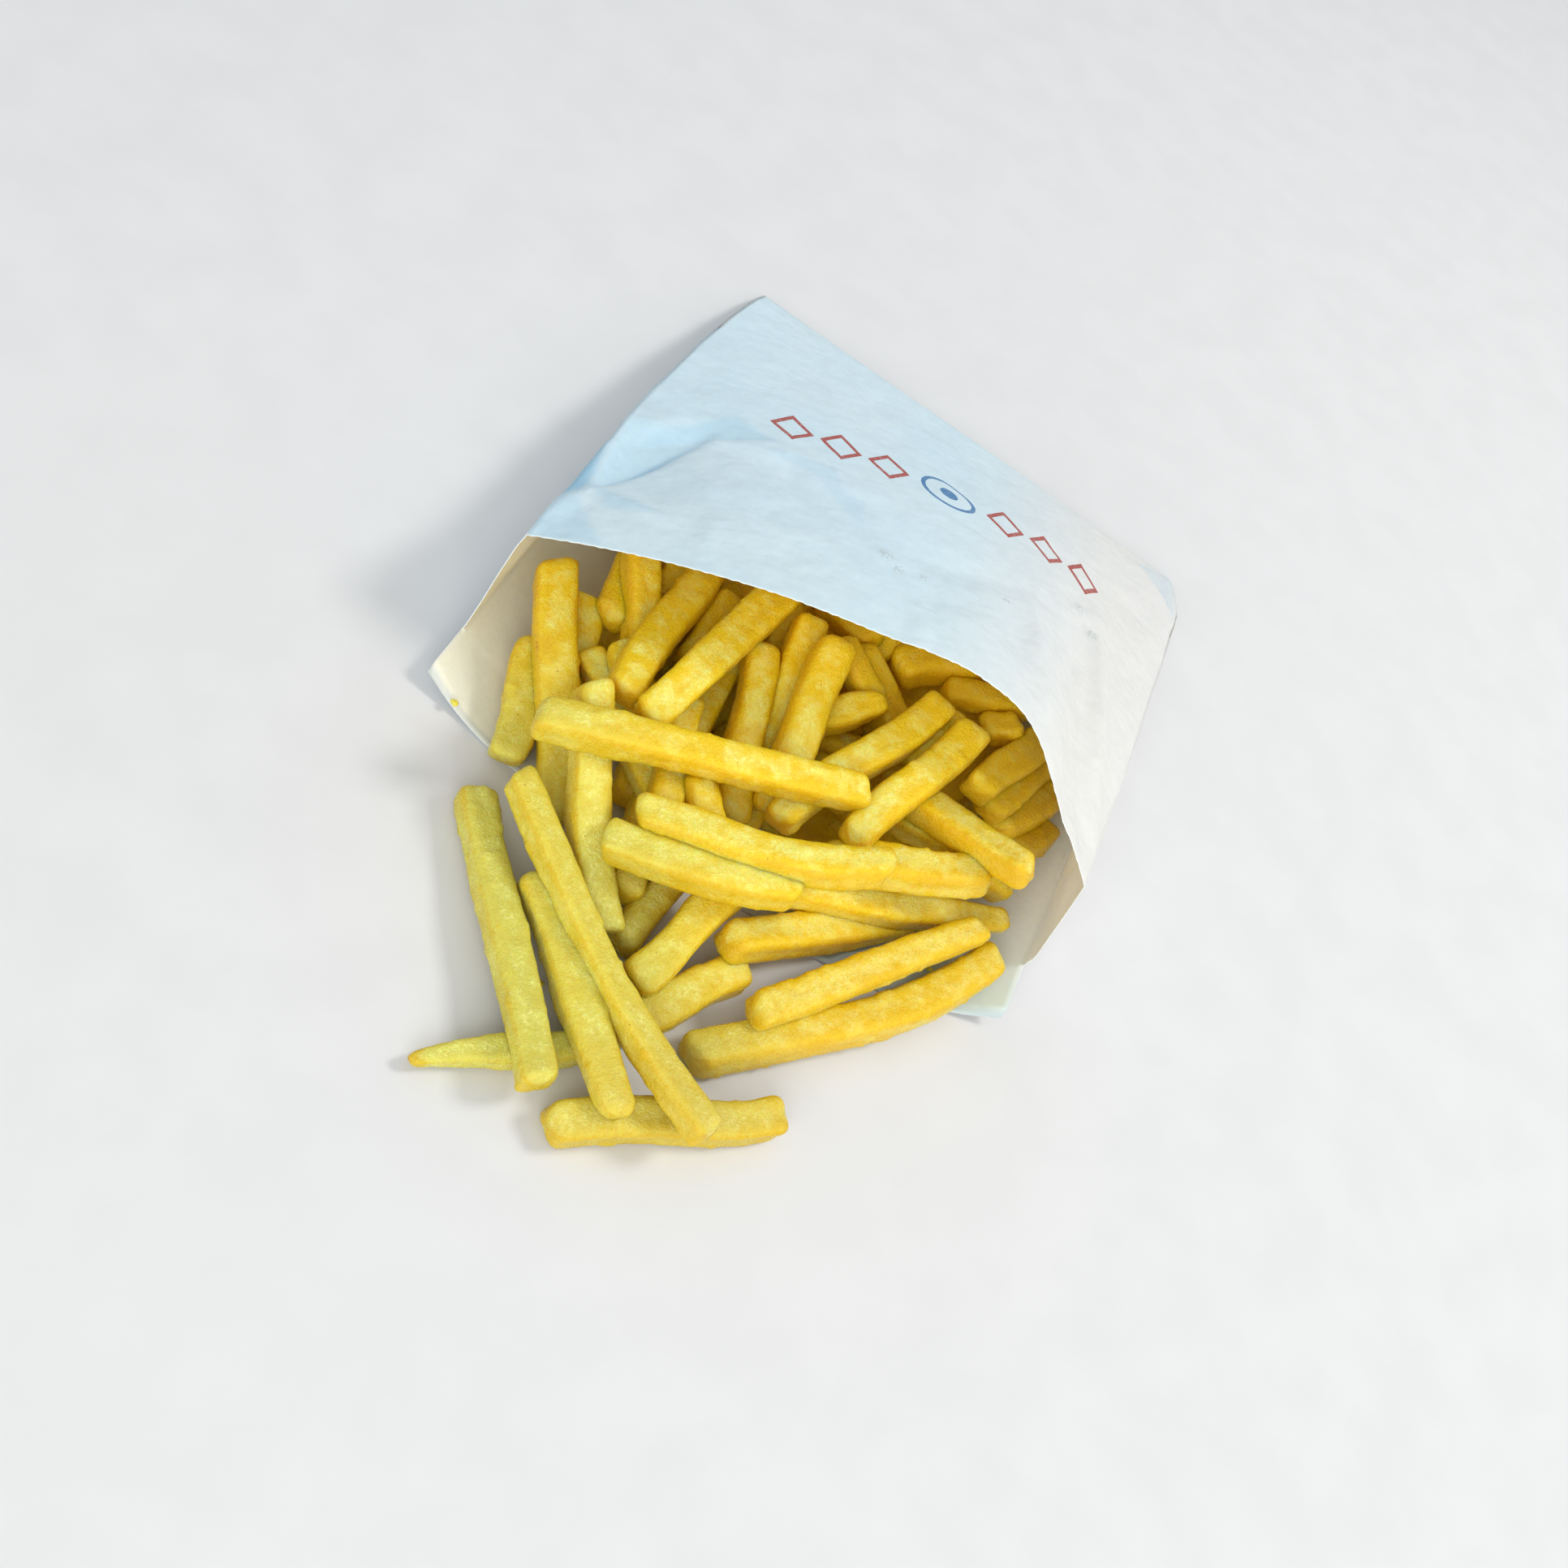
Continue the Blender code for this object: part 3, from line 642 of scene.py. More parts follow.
def fried_potato(name, shade=0.0):
    """Fried potato: pale yellow faces, golden to amber crust on edges and ends, fine mottling and blisters.

    The crust, pale and lime attributes of each point steer it; lime is a painted pale, cool light on the
    fries furthest out front and to the left. Fries in the bag are painted more amber for the warm light
    that the fries throw on each other there, and those far to the right and towards the front browner as
    painted shade. Shade is how far hidden fries take the warm tone of the light between them.
    """
    graph = Graph(name)
    crust = graph.attribute("crust")
    pale = graph.attribute("pale")
    front_left_light = graph.attribute("front_left_light")
    blotch = graph.noise(260, 3, 0.6)
    speck = graph.noise(1100, 3, 0.65)
    grain = graph.noise(2600, 2, 0.6)

    pale_now = graph.value("ADD", pale, graph.ramp(blotch, 0.32, 0.68, -0.50, 0.40), clamp=True)
    colour = graph.mix(pale_now, (0.88, 0.61, 0.004), (0.94, 0.80, 0.125))
    # Painted light: where lime is high, the fries out front and to the left take a greener colour, cream
    # and rind for the pale cool light on them
    colour = graph.layer(colour, front_left_light, 0.9, (0.60, 0.60, 0.12))
    browned = graph.value("ADD", crust, graph.ramp(speck, 0.35, 0.75, -0.20, 0.20))
    rind = graph.mix(front_left_light, (0.80, 0.50, 0.004), (0.60, 0.44, 0.008))
    colour = graph.layer(colour, graph.ramp(browned, 0.15, 0.80), 0.9, rind)
    colour = graph.layer(colour, graph.ramp(browned, 1.00, 1.50), 0.8, (0.62, 0.29, 0.008))
    creamy = graph.product(graph.ramp(browned, 0.9, 0.3), graph.ramp(pale_now, 0.1, 0.9))
    cream = graph.mix(front_left_light, (1.0, 0.93, 0.31), (0.88, 0.88, 0.28))
    curd = graph.product(graph.ramp(speck, 0.47, 0.66), creamy)
    colour = graph.layer(colour, curd, 0.65, cream)
    pits = graph.ramp(speck, 0.46, 0.30)
    colour = graph.layer(colour, pits, 0.18, (0.72, 0.46, 0.006))
    # Partly the potato's pale grain and partly painted glints: cream specks on the pale faces
    pale_grain_and_glints = graph.product(graph.ramp(grain, 0.52, 0.70), creamy)
    colour = graph.layer(colour, pale_grain_and_glints, 0.5, cream)
    dots = graph.ramp(graph.noise(1500, 0, 0.5), 0.865, 0.885)
    colour = graph.layer(colour, dots, 0.7, (0.36, 0.17, 0.02))
    burnt = graph.ramp(browned, 1.35, 1.7)
    colour = graph.mix(burnt, colour, (0.22, 0.09, 0.015))
    x, y = graph.place()
    # Painted light: fries in the bag take an amber tone for the warm light that the fries throw on each
    # other there
    colour = graph.mix(graph.ramp(y, -0.02, 0.02, 0.0, 0.50), colour, (0.97, 0.58, 0.003))
    # Painted shade: fries far to the right and towards the front turn browner
    away = graph.value("SUBTRACT", graph.product(x, 0.87), graph.product(y, 0.5))
    colour = graph.mix(graph.ramp(away, 0.035, 0.060, 0.0, 0.26), colour, (0.58, 0.34, 0.004))
    if shade:
        colour = graph.mix(shade, colour, (1.0, 0.60, 0.008))
    shine = graph.ramp(grain, 0.35, 0.65, 0.22, 0.46)
    graph.set(Base_Color=colour, Roughness=shine, Specular_IOR_Level=0.42,
              Subsurface_Weight=0.6, Subsurface_Radius=(1.0, 0.66, 0.08), Subsurface_Scale=0.004)
    graph.relief(((graph.noise(420, 3, 0.6), 0.4, 0.0004), (speck, 0.8, 0.00045), (grain, 0.9, 0.0003)))
    return graph.material


def plain_floor():
    """Pale matt floor with a trace of grain."""
    graph = Graph("pale floor")
    grain = graph.ramp(graph.noise(60, 2), 0.3, 0.7)
    colour = graph.mix(grain, (0.70, 0.70, 0.705), (0.72, 0.72, 0.725))
    graph.set(Base_Color=colour, Roughness=0.9, Specular_IOR_Level=0.1)
    return graph.material


# The bag


def mouth_height(x):
    """Height of the front panel's cut edge: a parabola, steeper to the right of its top."""
    reach = np.where(x < ARCH_TOP_X, ARCH_REACH_LEFT, ARCH_REACH_RIGHT)
    return CORNER_HEIGHT + ARCH_RISE * (1 - ((x - ARCH_TOP_X) / reach) ** 2)


def panel_rise(v):
    """Share of the mouth's height that the front panel has at v, 0 at the closed end, 1 at the mouth."""
    return v + PANEL_BULGE * v * (1 - v)


def side_curl(x, v):
    """Height of the back panel: flat in the middle, curling up towards both sides and the mouth."""
    left = np.clip((-x - CURL_LEFT[0]) / CURL_LEFT[1], 0, 1) ** 2
    right = np.clip((x - CURL_RIGHT[0]) / CURL_RIGHT[1], 0, 1) ** 2
    return SIDE_CURL * (left + right) * np.clip(v, 0, 1.2) ** 0.7


def dent(x, y):
    """Depth of the dent in the front panel by its left fold: a bell of two widths."""
    off = ((x - DENT_AT[0]) / DENT_SPREAD[0]) ** 2 + ((y - DENT_AT[1]) / DENT_SPREAD[1]) ** 2
    return DENT_DEPTH * np.exp(-off)


def front_panel(x, y):
    """Height of the front panel's outer face over (x, y), and OPEN_ABOVE where there is no panel."""
    v = (CLOSED_Y - y) / (CLOSED_Y - smooth_curve(MOUTH_CUT, x))
    way = np.clip(v, 0, 1)
    top = mouth_height(np.clip(x, FRONT_LEFT[-1][1], FRONT_RIGHT[-1][1]))
    z = CLOSED_HEIGHT + (top - CLOSED_HEIGHT) * panel_rise(way) - dent(x, y)
    between = (x > smooth_curve(FRONT_LEFT, way)) & (x < smooth_curve(FRONT_RIGHT, way))
    return np.where((v >= 0) & (v <= 1) & between, z, OPEN_ABOVE)


def crease_field(x, y, creases):
    """Sum of creases: height * (1 - d / reach), d the distance to the line in plan, reach by its side."""
    total = np.zeros(np.broadcast(x, y).shape)
    for x0, y0, x1, y1, height, left_reach, right_reach in creases:
        run = np.array([x1 - x0, y1 - y0], dtype=float)
        share = ((x - x0) * run[0] + (y - y0) * run[1]) / (run @ run)
        held = np.clip(share, 0, 1)
        away = np.hypot(x - x0 - held * run[0], y - y0 - held * run[1])
        reach = np.where(run[0] * (y - y0) > run[1] * (x - x0), left_reach, right_reach)
        fade = 0.35 + 0.65 * np.sin(np.pi * np.clip(share, 0.08, 0.92))
        total += height * np.clip(1 - away / reach, 0, 1) * fade
    return total


def random_creases():
    """Short shallow creases spread over the front panel at random."""
    rng = np.random.default_rng(SEED)
    made = []
    for _ in range(CRUMPLES):
        x, y = rng.uniform(*CRUMPLE_X), rng.uniform(*CRUMPLE_Y)
        angle, length = rng.uniform(0, math.pi), rng.uniform(*CRUMPLE_LENGTH)
        height = rng.choice((-1, 1)) * rng.uniform(*CRUMPLE_HEIGHT)
        reach = rng.uniform(*CRUMPLE_REACH, 2)
        made.append((x, y, x + length * math.cos(angle), y + length * math.sin(angle), height, *reach))
    return tuple(made)


def inside_triangle(x, y, corners, soft):
    """1 inside a triangle in plan and 0 outside: a smooth step of the least distance to its three sides."""
    least = np.full(np.broadcast(x, y).shape, np.inf)
    middle = np.mean(corners, axis=0)
    for (x0, y0), (x1, y1) in zip(corners, corners[1:] + corners[:1]):
        normal = np.array([y0 - y1, x1 - x0]) / math.dist((x0, y0), (x1, y1))
        if normal @ (middle - (x0, y0)) < 0:
            normal = -normal
        least = np.minimum(least, (x - x0) * normal[0] + (y - y0) * normal[1])
    return smooth_step(-soft, soft, least)


def sleeve_points(v):
    """Rings of the bag at v: back panel, right gusset, front panel, left gusset, as in the part's source.

    v is a column, 0 at the closed end and 1 at the mouth. The saw-toothed cut moves the last rows along
    the bag, and the gussets flare outwards at the rim.
    """
    across = np.linspace(0, 1, PANEL_CELLS + 1)
    up = np.linspace(0, 1, GUSSET_CELLS + 1)[1:-1]
    length = CLOSED_Y + 10
    near_rim = smooth_step(0.975, 1.0, v)

    def toothed(way):
        tooth = np.abs((way / TOOTH_PITCH) % 1 - 0.5) * 2 - 0.5
        return v + near_rim * TOOTH_DEPTH * tooth / length

    left, right = smooth_curve(BACK_LEFT, v), np.interp(v, *np.array(BACK_RIGHT, dtype=float).T)
    x = left + (right - left) * across
    foot_y = np.interp(x, *np.array(GUSSET_FOOT, dtype=float).T)
    back = np.stack([x, CLOSED_Y + (foot_y - CLOSED_Y) * v, side_curl(x, v)], axis=-1)

    left, right = smooth_curve(FRONT_LEFT, v), np.interp(v, *np.array(FRONT_RIGHT, dtype=float).T)
    x = left + (right - left) * across[::-1]
    cut_x = FRONT_LEFT[-1][1] + (FRONT_RIGHT[-1][1] - FRONT_LEFT[-1][1]) * across[::-1]
    cut_v = toothed(cut_x + 100)
    y = CLOSED_Y + (smooth_curve(MOUTH_CUT, cut_x) - CLOSED_Y) * cut_v
    z = CLOSED_HEIGHT + (mouth_height(cut_x) - CLOSED_HEIGHT) * panel_rise(v) - dent(x, y)
    creased = crease_field(x, y, CREASES) * CREASE_SCALE + crease_field(x, y, random_creases())
    z = z + creased * smooth_step(0, 0.12, v)
    z = z - (CLOSED_HEIGHT - CLOSED_EDGE) * np.clip(1 - v / FLAT_END, 0, 1) ** 2
    front = np.stack([x, y, z], axis=-1)

    fold = GUSSET_FOLD * np.sin(np.pi * np.clip(v * GUSSET_FOLD_END, 0, 1)) * np.sin(np.pi * up)
    rim = np.clip((v - RIM_FROM) / (1 - RIM_FROM), 0, 1)
    flare = RIM_FLARE * rim * np.interp(up, (0, FLARE_TOP, 1), (0, 1, 0))
    crease = GUSSET_CREASE * smooth_step(0.1, 0.4, v) * (1 - np.abs(2 * up - 1))
    crease = crease * (1 - smooth_step(RIM_FROM, 1.0, v))
    gusset_right = back[:, -1:] + (front[:, :1] - back[:, -1:]) * up[None, :, None]
    gusset_right[..., 0] -= fold - flare + crease
    gusset_left = front[:, -1:] + (back[:, :1] - front[:, -1:]) * up[None, :, None]
    gusset_left[..., 0] += fold - 0.4 * flare + crease
    return np.concatenate([back, gusset_right, front, gusset_left], axis=1)


def crumple(points):
    """Moves the sleeve's points along their normals by two sizes of noise; the back panel only rises."""
    round_it = np.roll(points, -1, axis=1) - np.roll(points, 1, axis=1)
    along = np.gradient(points, axis=0)
    normal = np.cross(round_it, along)
    normal /= np.linalg.norm(normal, axis=-1, keepdims=True) + 1e-9
    if normal[:, PANEL_CELLS // 2, 2].mean() > 0:
        normal = -normal
    way = noise(points * (1, 1, 0.6), 17, SEED + 1) * 0.28 + noise(points, 6.5, SEED + 2) * 0.10
    is_back = np.arange(points.shape[1]) <= PANEL_CELLS
    calm = smooth_step(0, 8, CLOSED_Y - points[..., 1])
    moved = points + normal * (way * calm * ~is_back)[..., None]
    moved[:, is_back, 2] += (0.12 + way * 0.3)[:, is_back].clip(0) * calm[:, is_back]
    return moved


def build_bag():
    """The bag as one sheet: sleeve, closed end and lip, given its thickness inwards."""
    v = np.concatenate([np.linspace(0, FLAT_END, END_ROWS)[:-1],
                        np.linspace(FLAT_END, RIM_ROWS_FROM, LENGTH_ROWS),
                        np.linspace(RIM_ROWS_FROM, 1, RIM_ROWS)[1:]])[:, None]
    rings = crumple(sleeve_points(v))
    rows, count = rings.shape[:2]
    index = np.arange(rows * count).reshape(rows, count)
    faces = grid_faces(close_rings(index))

    back_end = index[0, :PANEL_CELLS + 1]
    front_start = PANEL_CELLS + GUSSET_CELLS
    front_end = index[0, front_start:front_start + PANEL_CELLS + 1][::-1]
    for i in range(1, PANEL_CELLS - 1):
        faces.append([int(k) for k in (back_end[i + 1], back_end[i], front_end[i], front_end[i + 1])])
    right_side = index[0, PANEL_CELLS - 1:front_start + 2].tolist()
    left_side = index[0, front_start + PANEL_CELLS - 1:].tolist() + index[0, :2].tolist()
    faces.append(right_side[::-1])
    faces.append(left_side[::-1])

    edge = rings[-1, :PANEL_CELLS + 1]
    share = np.linspace(0, 1, LIP_CELLS + 1)[1:, None]
    x = np.broadcast_to(edge[:, 0], (LIP_CELLS, PANEL_CELLS + 1))
    wave = 0.5 * noise(np.stack([x * 0.4, x * 0, x * 0], axis=-1), 3.0, SEED + 3)
    lip_y = smooth_curve(LIP_EDGE, x) + (wave + 0.5).clip(0, 1) * 0.8
    y = edge[:, 1] + (lip_y - edge[:, 1]) * share
    from_edge = y - lip_y
    bumps = noise(np.stack([x, y, x * 0], axis=-1), 9, SEED + 4) * 0.25 + 0.25
    z = side_curl(x, 1.0) * (1 - LIP_DROP * smooth_step(1.8, 0, from_edge)) + bumps.clip(0.05) * share * 0.9
    lip = np.stack([x, y, z], axis=-1)
    lip_index = rows * count + np.arange(lip.size // 3).reshape(LIP_CELLS, PANEL_CELLS + 1)
    faces += grid_faces(np.concatenate([index[-1:, :PANEL_CELLS + 1], lip_index]))

    points = np.concatenate([rings.reshape(-1, 3), lip.reshape(-1, 3)])
    front = np.zeros((rows, count))
    front[:, front_start:front_start + PANEL_CELLS + 1] = 1
    bottom = np.zeros((rows, count))
    bottom[:, :PANEL_CELLS + 1] = 1
    steps = np.linalg.norm(np.diff(rings, axis=0), axis=-1)
    along = CLOSED_Y - np.concatenate([np.zeros((1, count)), np.cumsum(steps, axis=0)])
    lip_zero = np.zeros(lip.shape[:2]).ravel()
    # Painted shade along the last millimetre or two of the lip, where it curls down away from the light
    band = smooth_step(1.9, 1.1, from_edge + 0.5 * noise(lip * (1, 1, 0), 3, SEED + 5)).ravel()
    # Painted shade: how much of a facet's blue each point of the front panel takes
    facet_shade = np.zeros((rows, count))
    for *corners, strength in FACETS:
        patch = inside_triangle(rings[..., 0], rings[..., 1], corners, FACET_EDGE) * strength
        facet_shade = np.maximum(facet_shade, patch * front)
    scuff = np.zeros((rows, count))
    for x0, y0, reach in SCUFFS:
        away = np.hypot(rings[..., 0] - x0, rings[..., 1] - y0)
        scuff = np.maximum(scuff, smooth_step(reach * 1.6, reach * 0.5, away) * front)
    attributes = (
        ("front", np.concatenate([front.ravel(), lip_zero])),
        ("bottom", np.concatenate([bottom.ravel(), lip_zero + 1])),
        ("across", points[:, 0]),
        ("along", np.concatenate([along.ravel(), lip_zero])),
        ("band", np.concatenate([np.zeros(rows * count), band])),
        ("dent", np.concatenate([facet_shade.ravel(), lip_zero])),
        ("scuff", np.concatenate([scuff.ravel(), lip_zero])),
    )
    finishes = (paper_outside(), paper_inside(), paper_edge())
    bag = make_piece("paper_bag", points, faces, finishes, attributes)
    sheet = bag.modifiers.new("sheet thickness", "SOLIDIFY")
    sheet.thickness = SHEET * MILLIMETRE
    sheet.offset = -1
    sheet.material_offset = 1
    sheet.material_offset_rim = 2
    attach(bag, "root")
    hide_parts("bag")


# The fries


def ground(x, y):
    """Height that fries can lie on: the table, or the back panel where it covers the table."""
    v = (CLOSED_Y - y) / (CLOSED_Y - MEAN_FOOT_Y)
    on_paper = (y > smooth_curve(LIP_EDGE, x) - 0.5) & (y < CLOSED_Y) & (np.abs(x) < BACK_HALF_WIDTH)
    return np.where(on_paper, PAPER + GAP + side_curl(x, v), 0.0)


def core_height(x, y):
    """Height of the heap's core: a ramp along the bag, held under the front panel, low at the sides."""
    under = np.minimum(front_panel(x, y) - PAPER - CORE_CLEARANCE, CORE_TOP)
    ramp = np.interp(y, *np.array(CORE_RAMP, dtype=float).T)
    side = np.clip((CORE_HALF_WIDTH - np.abs(x)) / CORE_SLOPE_WIDTH, 0, 1) ** 0.7
    height = np.minimum(under, ramp) * side
    covered = (y < CORE_BACK_Y) & (y > CORE_RAMP[0][0])
    return np.where(covered, np.maximum(height, 0), 0)


def rest(fry, firm, laid):
    """Heights of a fry's two ends on what lies under it, and the field with the fry laid.

    Over the plan between its ends, the axis is the line that touches the upper hull of the
    heights needed along it on both sides of its middle, no steeper than STEEPEST.
    """
    x0, y0, x1, y1, thick, bow, point, press = fry
    radius = thick / 2
    start = np.array([x0, y0], dtype=float)
    length = math.dist((x0, y0), (x1, y1))
    along = (np.array([x1, y1]) - start) / length
    across = np.array([along[1], -along[0]])

    way = np.linspace(0, length, max(8, int(length)))
    off = np.linspace(-TOUCH_SHARE, TOUCH_SHARE, TOUCH_LINES) * radius
    bent = off + bow * np.sin(np.pi * way / length)[:, None]
    spots = start + way[:, None, None] * along + bent[..., None] * across
    i, j = np.rint(spots + FIELD_HALF).astype(int).transpose(2, 0, 1)
    round_side = np.sqrt(radius ** 2 - off ** 2)
    need = np.maximum(firm[i, j] + radius * FRY_HEIGHT, laid[i, j] + round_side - press).max(axis=1)

    hull = []
    for s, z in zip(way, need):
        while len(hull) > 1:
            (sa, za), (sb, zb) = hull[-2:]
            if (zb - za) * (s - sa) > (z - za) * (sb - sa):
                break
            hull.pop()
        hull.append((s, z))
    after = next(k for k in range(1, len(hull)) if hull[k][0] >= length / 2)
    (sa, za), (sb, zb) = hull[after - 1], hull[after]
    tilt = min(max((zb - za) / (sb - sa), -STEEPEST), STEEPEST)
    z0 = (need - tilt * way).max()

    field_x, field_y = FIELD
    way = (field_x - x0) * along[0] + (field_y - y0) * along[1]
    off = (field_x - x0) * across[0] + (field_y - y0) * across[1]
    off = off - bow * np.sin(np.pi * np.clip(way / length, 0, 1))
    under = (way > -0.5) & (way < length + 0.5) & (np.abs(off) < radius)
    top = z0 + tilt * way + np.sqrt(np.clip(radius ** 2 - off ** 2, 0, None))
    return z0, z0 + tilt * length, np.where(under, np.maximum(laid, top), laid)


def fry_surface(fry, heights, seed, row_step=ROW_STEP, sides=SIDES):
    """One fry: a rounded square section carried along a slightly bent axis, closed by blunt cut ends.

    The section is the curve |y|^n + |z|^n = 1, n from SECTION_POWER, its faces a little hollow. Each cut
    end follows the curve |s|^m + |r|^m = 1, m from CAP_POWER. The section turns a few degrees along the
    fry, and lumps, long streaks and blisters of noise move each point away from the axis. Crust is high on
    edges and ends, and higher on the sides and the lower face than on the upper one, partly browning and
    partly painted shade. Pale is high on faces outside the bag and lower inside it, as painted warm shade;
    it is lower at the edges too, partly browning and partly painted shading across each face. Lime is a
    painted pale, cool light on the fries furthest from the bag, out front and to the left.
    """
    x0, y0, x1, y1, thick, bow, point, press = fry
    rng = np.random.default_rng(SEED * 1000 + seed)
    start = np.array([x0, y0, heights[0]])
    end = np.array([x1, y1, heights[1]])
    length = np.linalg.norm(end - start)
    along = (end - start) / length
    across = np.array([along[1], -along[0], 0])
    across /= np.linalg.norm(across)
    up = np.cross(across, along)

    cap = CAP_LENGTH * thick
    turn = np.linspace(0, math.pi / 2, CAP_ROWS)[1:]
    cap_power = rng.uniform(*CAP_POWER)
    cap_way = cap * (1 - np.cos(turn[:-1]) ** (2 / cap_power))
    cap_size = np.sin(turn[:-1]) ** (2 / cap_power)
    body = np.linspace(cap, length - cap, max(4, int((length - 2 * cap) / row_step)))
    way = np.concatenate([cap_way, body, length - cap_way[::-1]])[:, None]
    full = np.concatenate([cap_size, np.ones(len(body)), cap_size[::-1]])[:, None]
    share = way / length

    angle = np.linspace(0, 2 * math.pi, sides, endpoint=False)[None, :]
    power = rng.uniform(*SECTION_POWER)
    reach = (np.abs(np.cos(angle)) ** power + np.abs(np.sin(angle)) ** power) ** (-1 / power)
    corner = (reach - 1) / (reach.max() - 1)
    hollow = rng.uniform(*HOLLOW) * np.cos(2 * angle) ** 2
    uneven = noise(np.concatenate([way, way * 0 + seed * 7.3, way * 0], axis=1), 13, SEED + 7)[:, None]
    taper = 1 - point * np.clip(share - TAPER_FROM, 0, 1) / (1 - TAPER_FROM)
    size = thick / 2 * taper * (1.03 + 0.07 * uneven)
    reach = reach * (1 - hollow)
    flat = reach * np.cos(angle) * size * rng.uniform(0.95, 1.05)
    tall = reach * np.sin(angle) * size * FRY_HEIGHT * rng.uniform(0.95, 1.0)
    spin = math.radians(rng.uniform(-MOST_SPIN, MOST_SPIN))
    spin = spin + math.radians(rng.uniform(-MOST_TWIST, MOST_TWIST)) * (share - 0.5)
    side = (flat * np.cos(spin) - tall * np.sin(spin)) * full
    rise = (flat * np.sin(spin) + tall * np.cos(spin)) * full

    to_end = np.minimum(way, length - way)
    near, far = rng.uniform(-END_SLOPE, END_SLOPE, (2, 2))
    slope = np.where(share < 0.5, near[0] * side + near[1] * rise, far[0] * side + far[1] * rise)
    moved_way = way + slope * np.exp(-to_end / (0.7 * thick))
    sag = rng.uniform(*SAG) * np.sin(np.pi * share)
    swerve = rng.uniform(-MOST_SWERVE, MOST_SWERVE) * np.sin(2 * np.pi * share)
    swerve = bow * np.sin(np.pi * share) + swerve
    spine = start + along * np.clip(way, cap, length - cap)[..., None] \
        + (across * swerve[..., None] - up * sag[..., None])
    surface = start + along * moved_way[..., None] + across * (side + swerve)[..., None] \
        + up * (rise - sag)[..., None]

    local = np.stack([moved_way + 0 * angle, side, rise], axis=-1) + seed * 37.7
    lumps = sum(noise(local, cell, SEED + key) * height for cell, key, height in LUMPS)
    streaks = noise(local * (0.22, 1, 1), 1.5, SEED + 10) * 0.10
    bubbles = np.clip(noise(local, 2.1, SEED + 11) - 0.42, 0, 1) * 0.8
    out = surface - spine
    out /= np.linalg.norm(out, axis=-1, keepdims=True) + 1e-9
    surface = surface + out * ((lumps + streaks + bubbles) * (0.25 + 0.75 * full))[..., None]

    # Crust on each face, partly browning and partly painted shade: the sides and the lower face more golden
    # than the upper one
    face_crust_and_shade = rng.uniform(*FACE_CRUST_AND_SHADE)
    which = (np.round(angle / (math.pi / 2)).astype(int)) % 4
    blotch = noise(local, 6.0, SEED + 12)
    ragged = np.clip(0.8 + 0.8 * noise(local, 2.6, SEED + 15), 0, 1.5)
    crust = 0.20 * corner ** 1.5 * ragged + face_crust_and_shade[which] + 0.30 * np.clip(blotch, 0, 1)
    crust = crust + 0.34 * np.exp(-to_end / (0.30 * thick)) * (0.8 + 0.5 * blotch) + 0.4 * bubbles
    toasted = np.clip(noise(local * (0.6, 1, 1), 5.0, SEED + 16) - 0.30, 0, 1)
    crust = crust + 0.5 * toasted + 0.45 * smooth_step(*TOASTED_Y, surface[..., 1])
    if point > 0.5:
        crust = crust + 0.9 * np.clip(share - 0.90, 0, 1) / 0.10
    surface[..., 2] = np.maximum(surface[..., 2], 0.05 + 0.7 * ground(surface[..., 0], surface[..., 1]))
    outer = smooth_step(-32, -72, 0.5 * surface[..., 0] + surface[..., 1])
    pale = np.full_like(crust, rng.uniform(0.4, 0.95))
    # Pale is lowered in the bag as painted warm shade, and at the edges, partly browning and partly painted
    # shading across each face
    pale = pale * (1 - 0.8 * smooth_step(-14, 22, surface[..., 1])) * (1 - 0.85 * corner ** 1.1)
    # Painted light: lime, a pale cool light on the fries furthest out front and to the left, which also
    # lessens their crust
    front_left_light = outer * rng.uniform(0.6, 1.0)
    crust = crust * (1 - 0.25 * front_left_light)

    points, faces = closed_tube(surface, [surface[0].mean(axis=0), surface[-1].mean(axis=0)])
    values = np.stack([crust, pale, front_left_light], axis=-1).reshape(-1, 3)
    values = np.concatenate([values, values[:1], values[-1:]])
    return points, faces, values


def build_fries():
    """All fries that show, settled on each other as in the part's source, one piece for each group."""
    groups = (
        ("table_fries", TABLE_FRIES, LOOSE),
        ("under_fries", UNDER_FRIES, PRESSED),
        ("lip_fries", LIP_FRIES, LOOSE),
        ("inner_fries", INNER_FRIES, PRESSED),
        ("top_fry", TOP_FRIES, LOOSE),
    )
    crust = fried_potato("fried potato")
    firm = np.maximum(ground(*FIELD), core_height(*FIELD))
    laid = np.full_like(firm, EMPTY)
    seed = 0
    for name, fries, press in groups:
        surfaces = []
        for fry in fries:
            seed += 1
            fry = (*fry, press)
            z0, z1, laid = rest(fry, firm, laid)
            surfaces.append(fry_surface(fry, (z0, z1), seed))
        fry_piece(name, surfaces, crust)


def fry_piece(name, surfaces, finish):
    """Makes one piece of fries from its surfaces, with their crust, pale and lime as attributes."""
    points, faces, values = join_surfaces(surfaces)
    attributes = [(key, values[:, i]) for i, key in enumerate(("crust", "pale", "front_left_light"))]
    piece = make_piece(name, points, faces, (finish,), attributes)
    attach(piece, "root")
    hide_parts("fries")


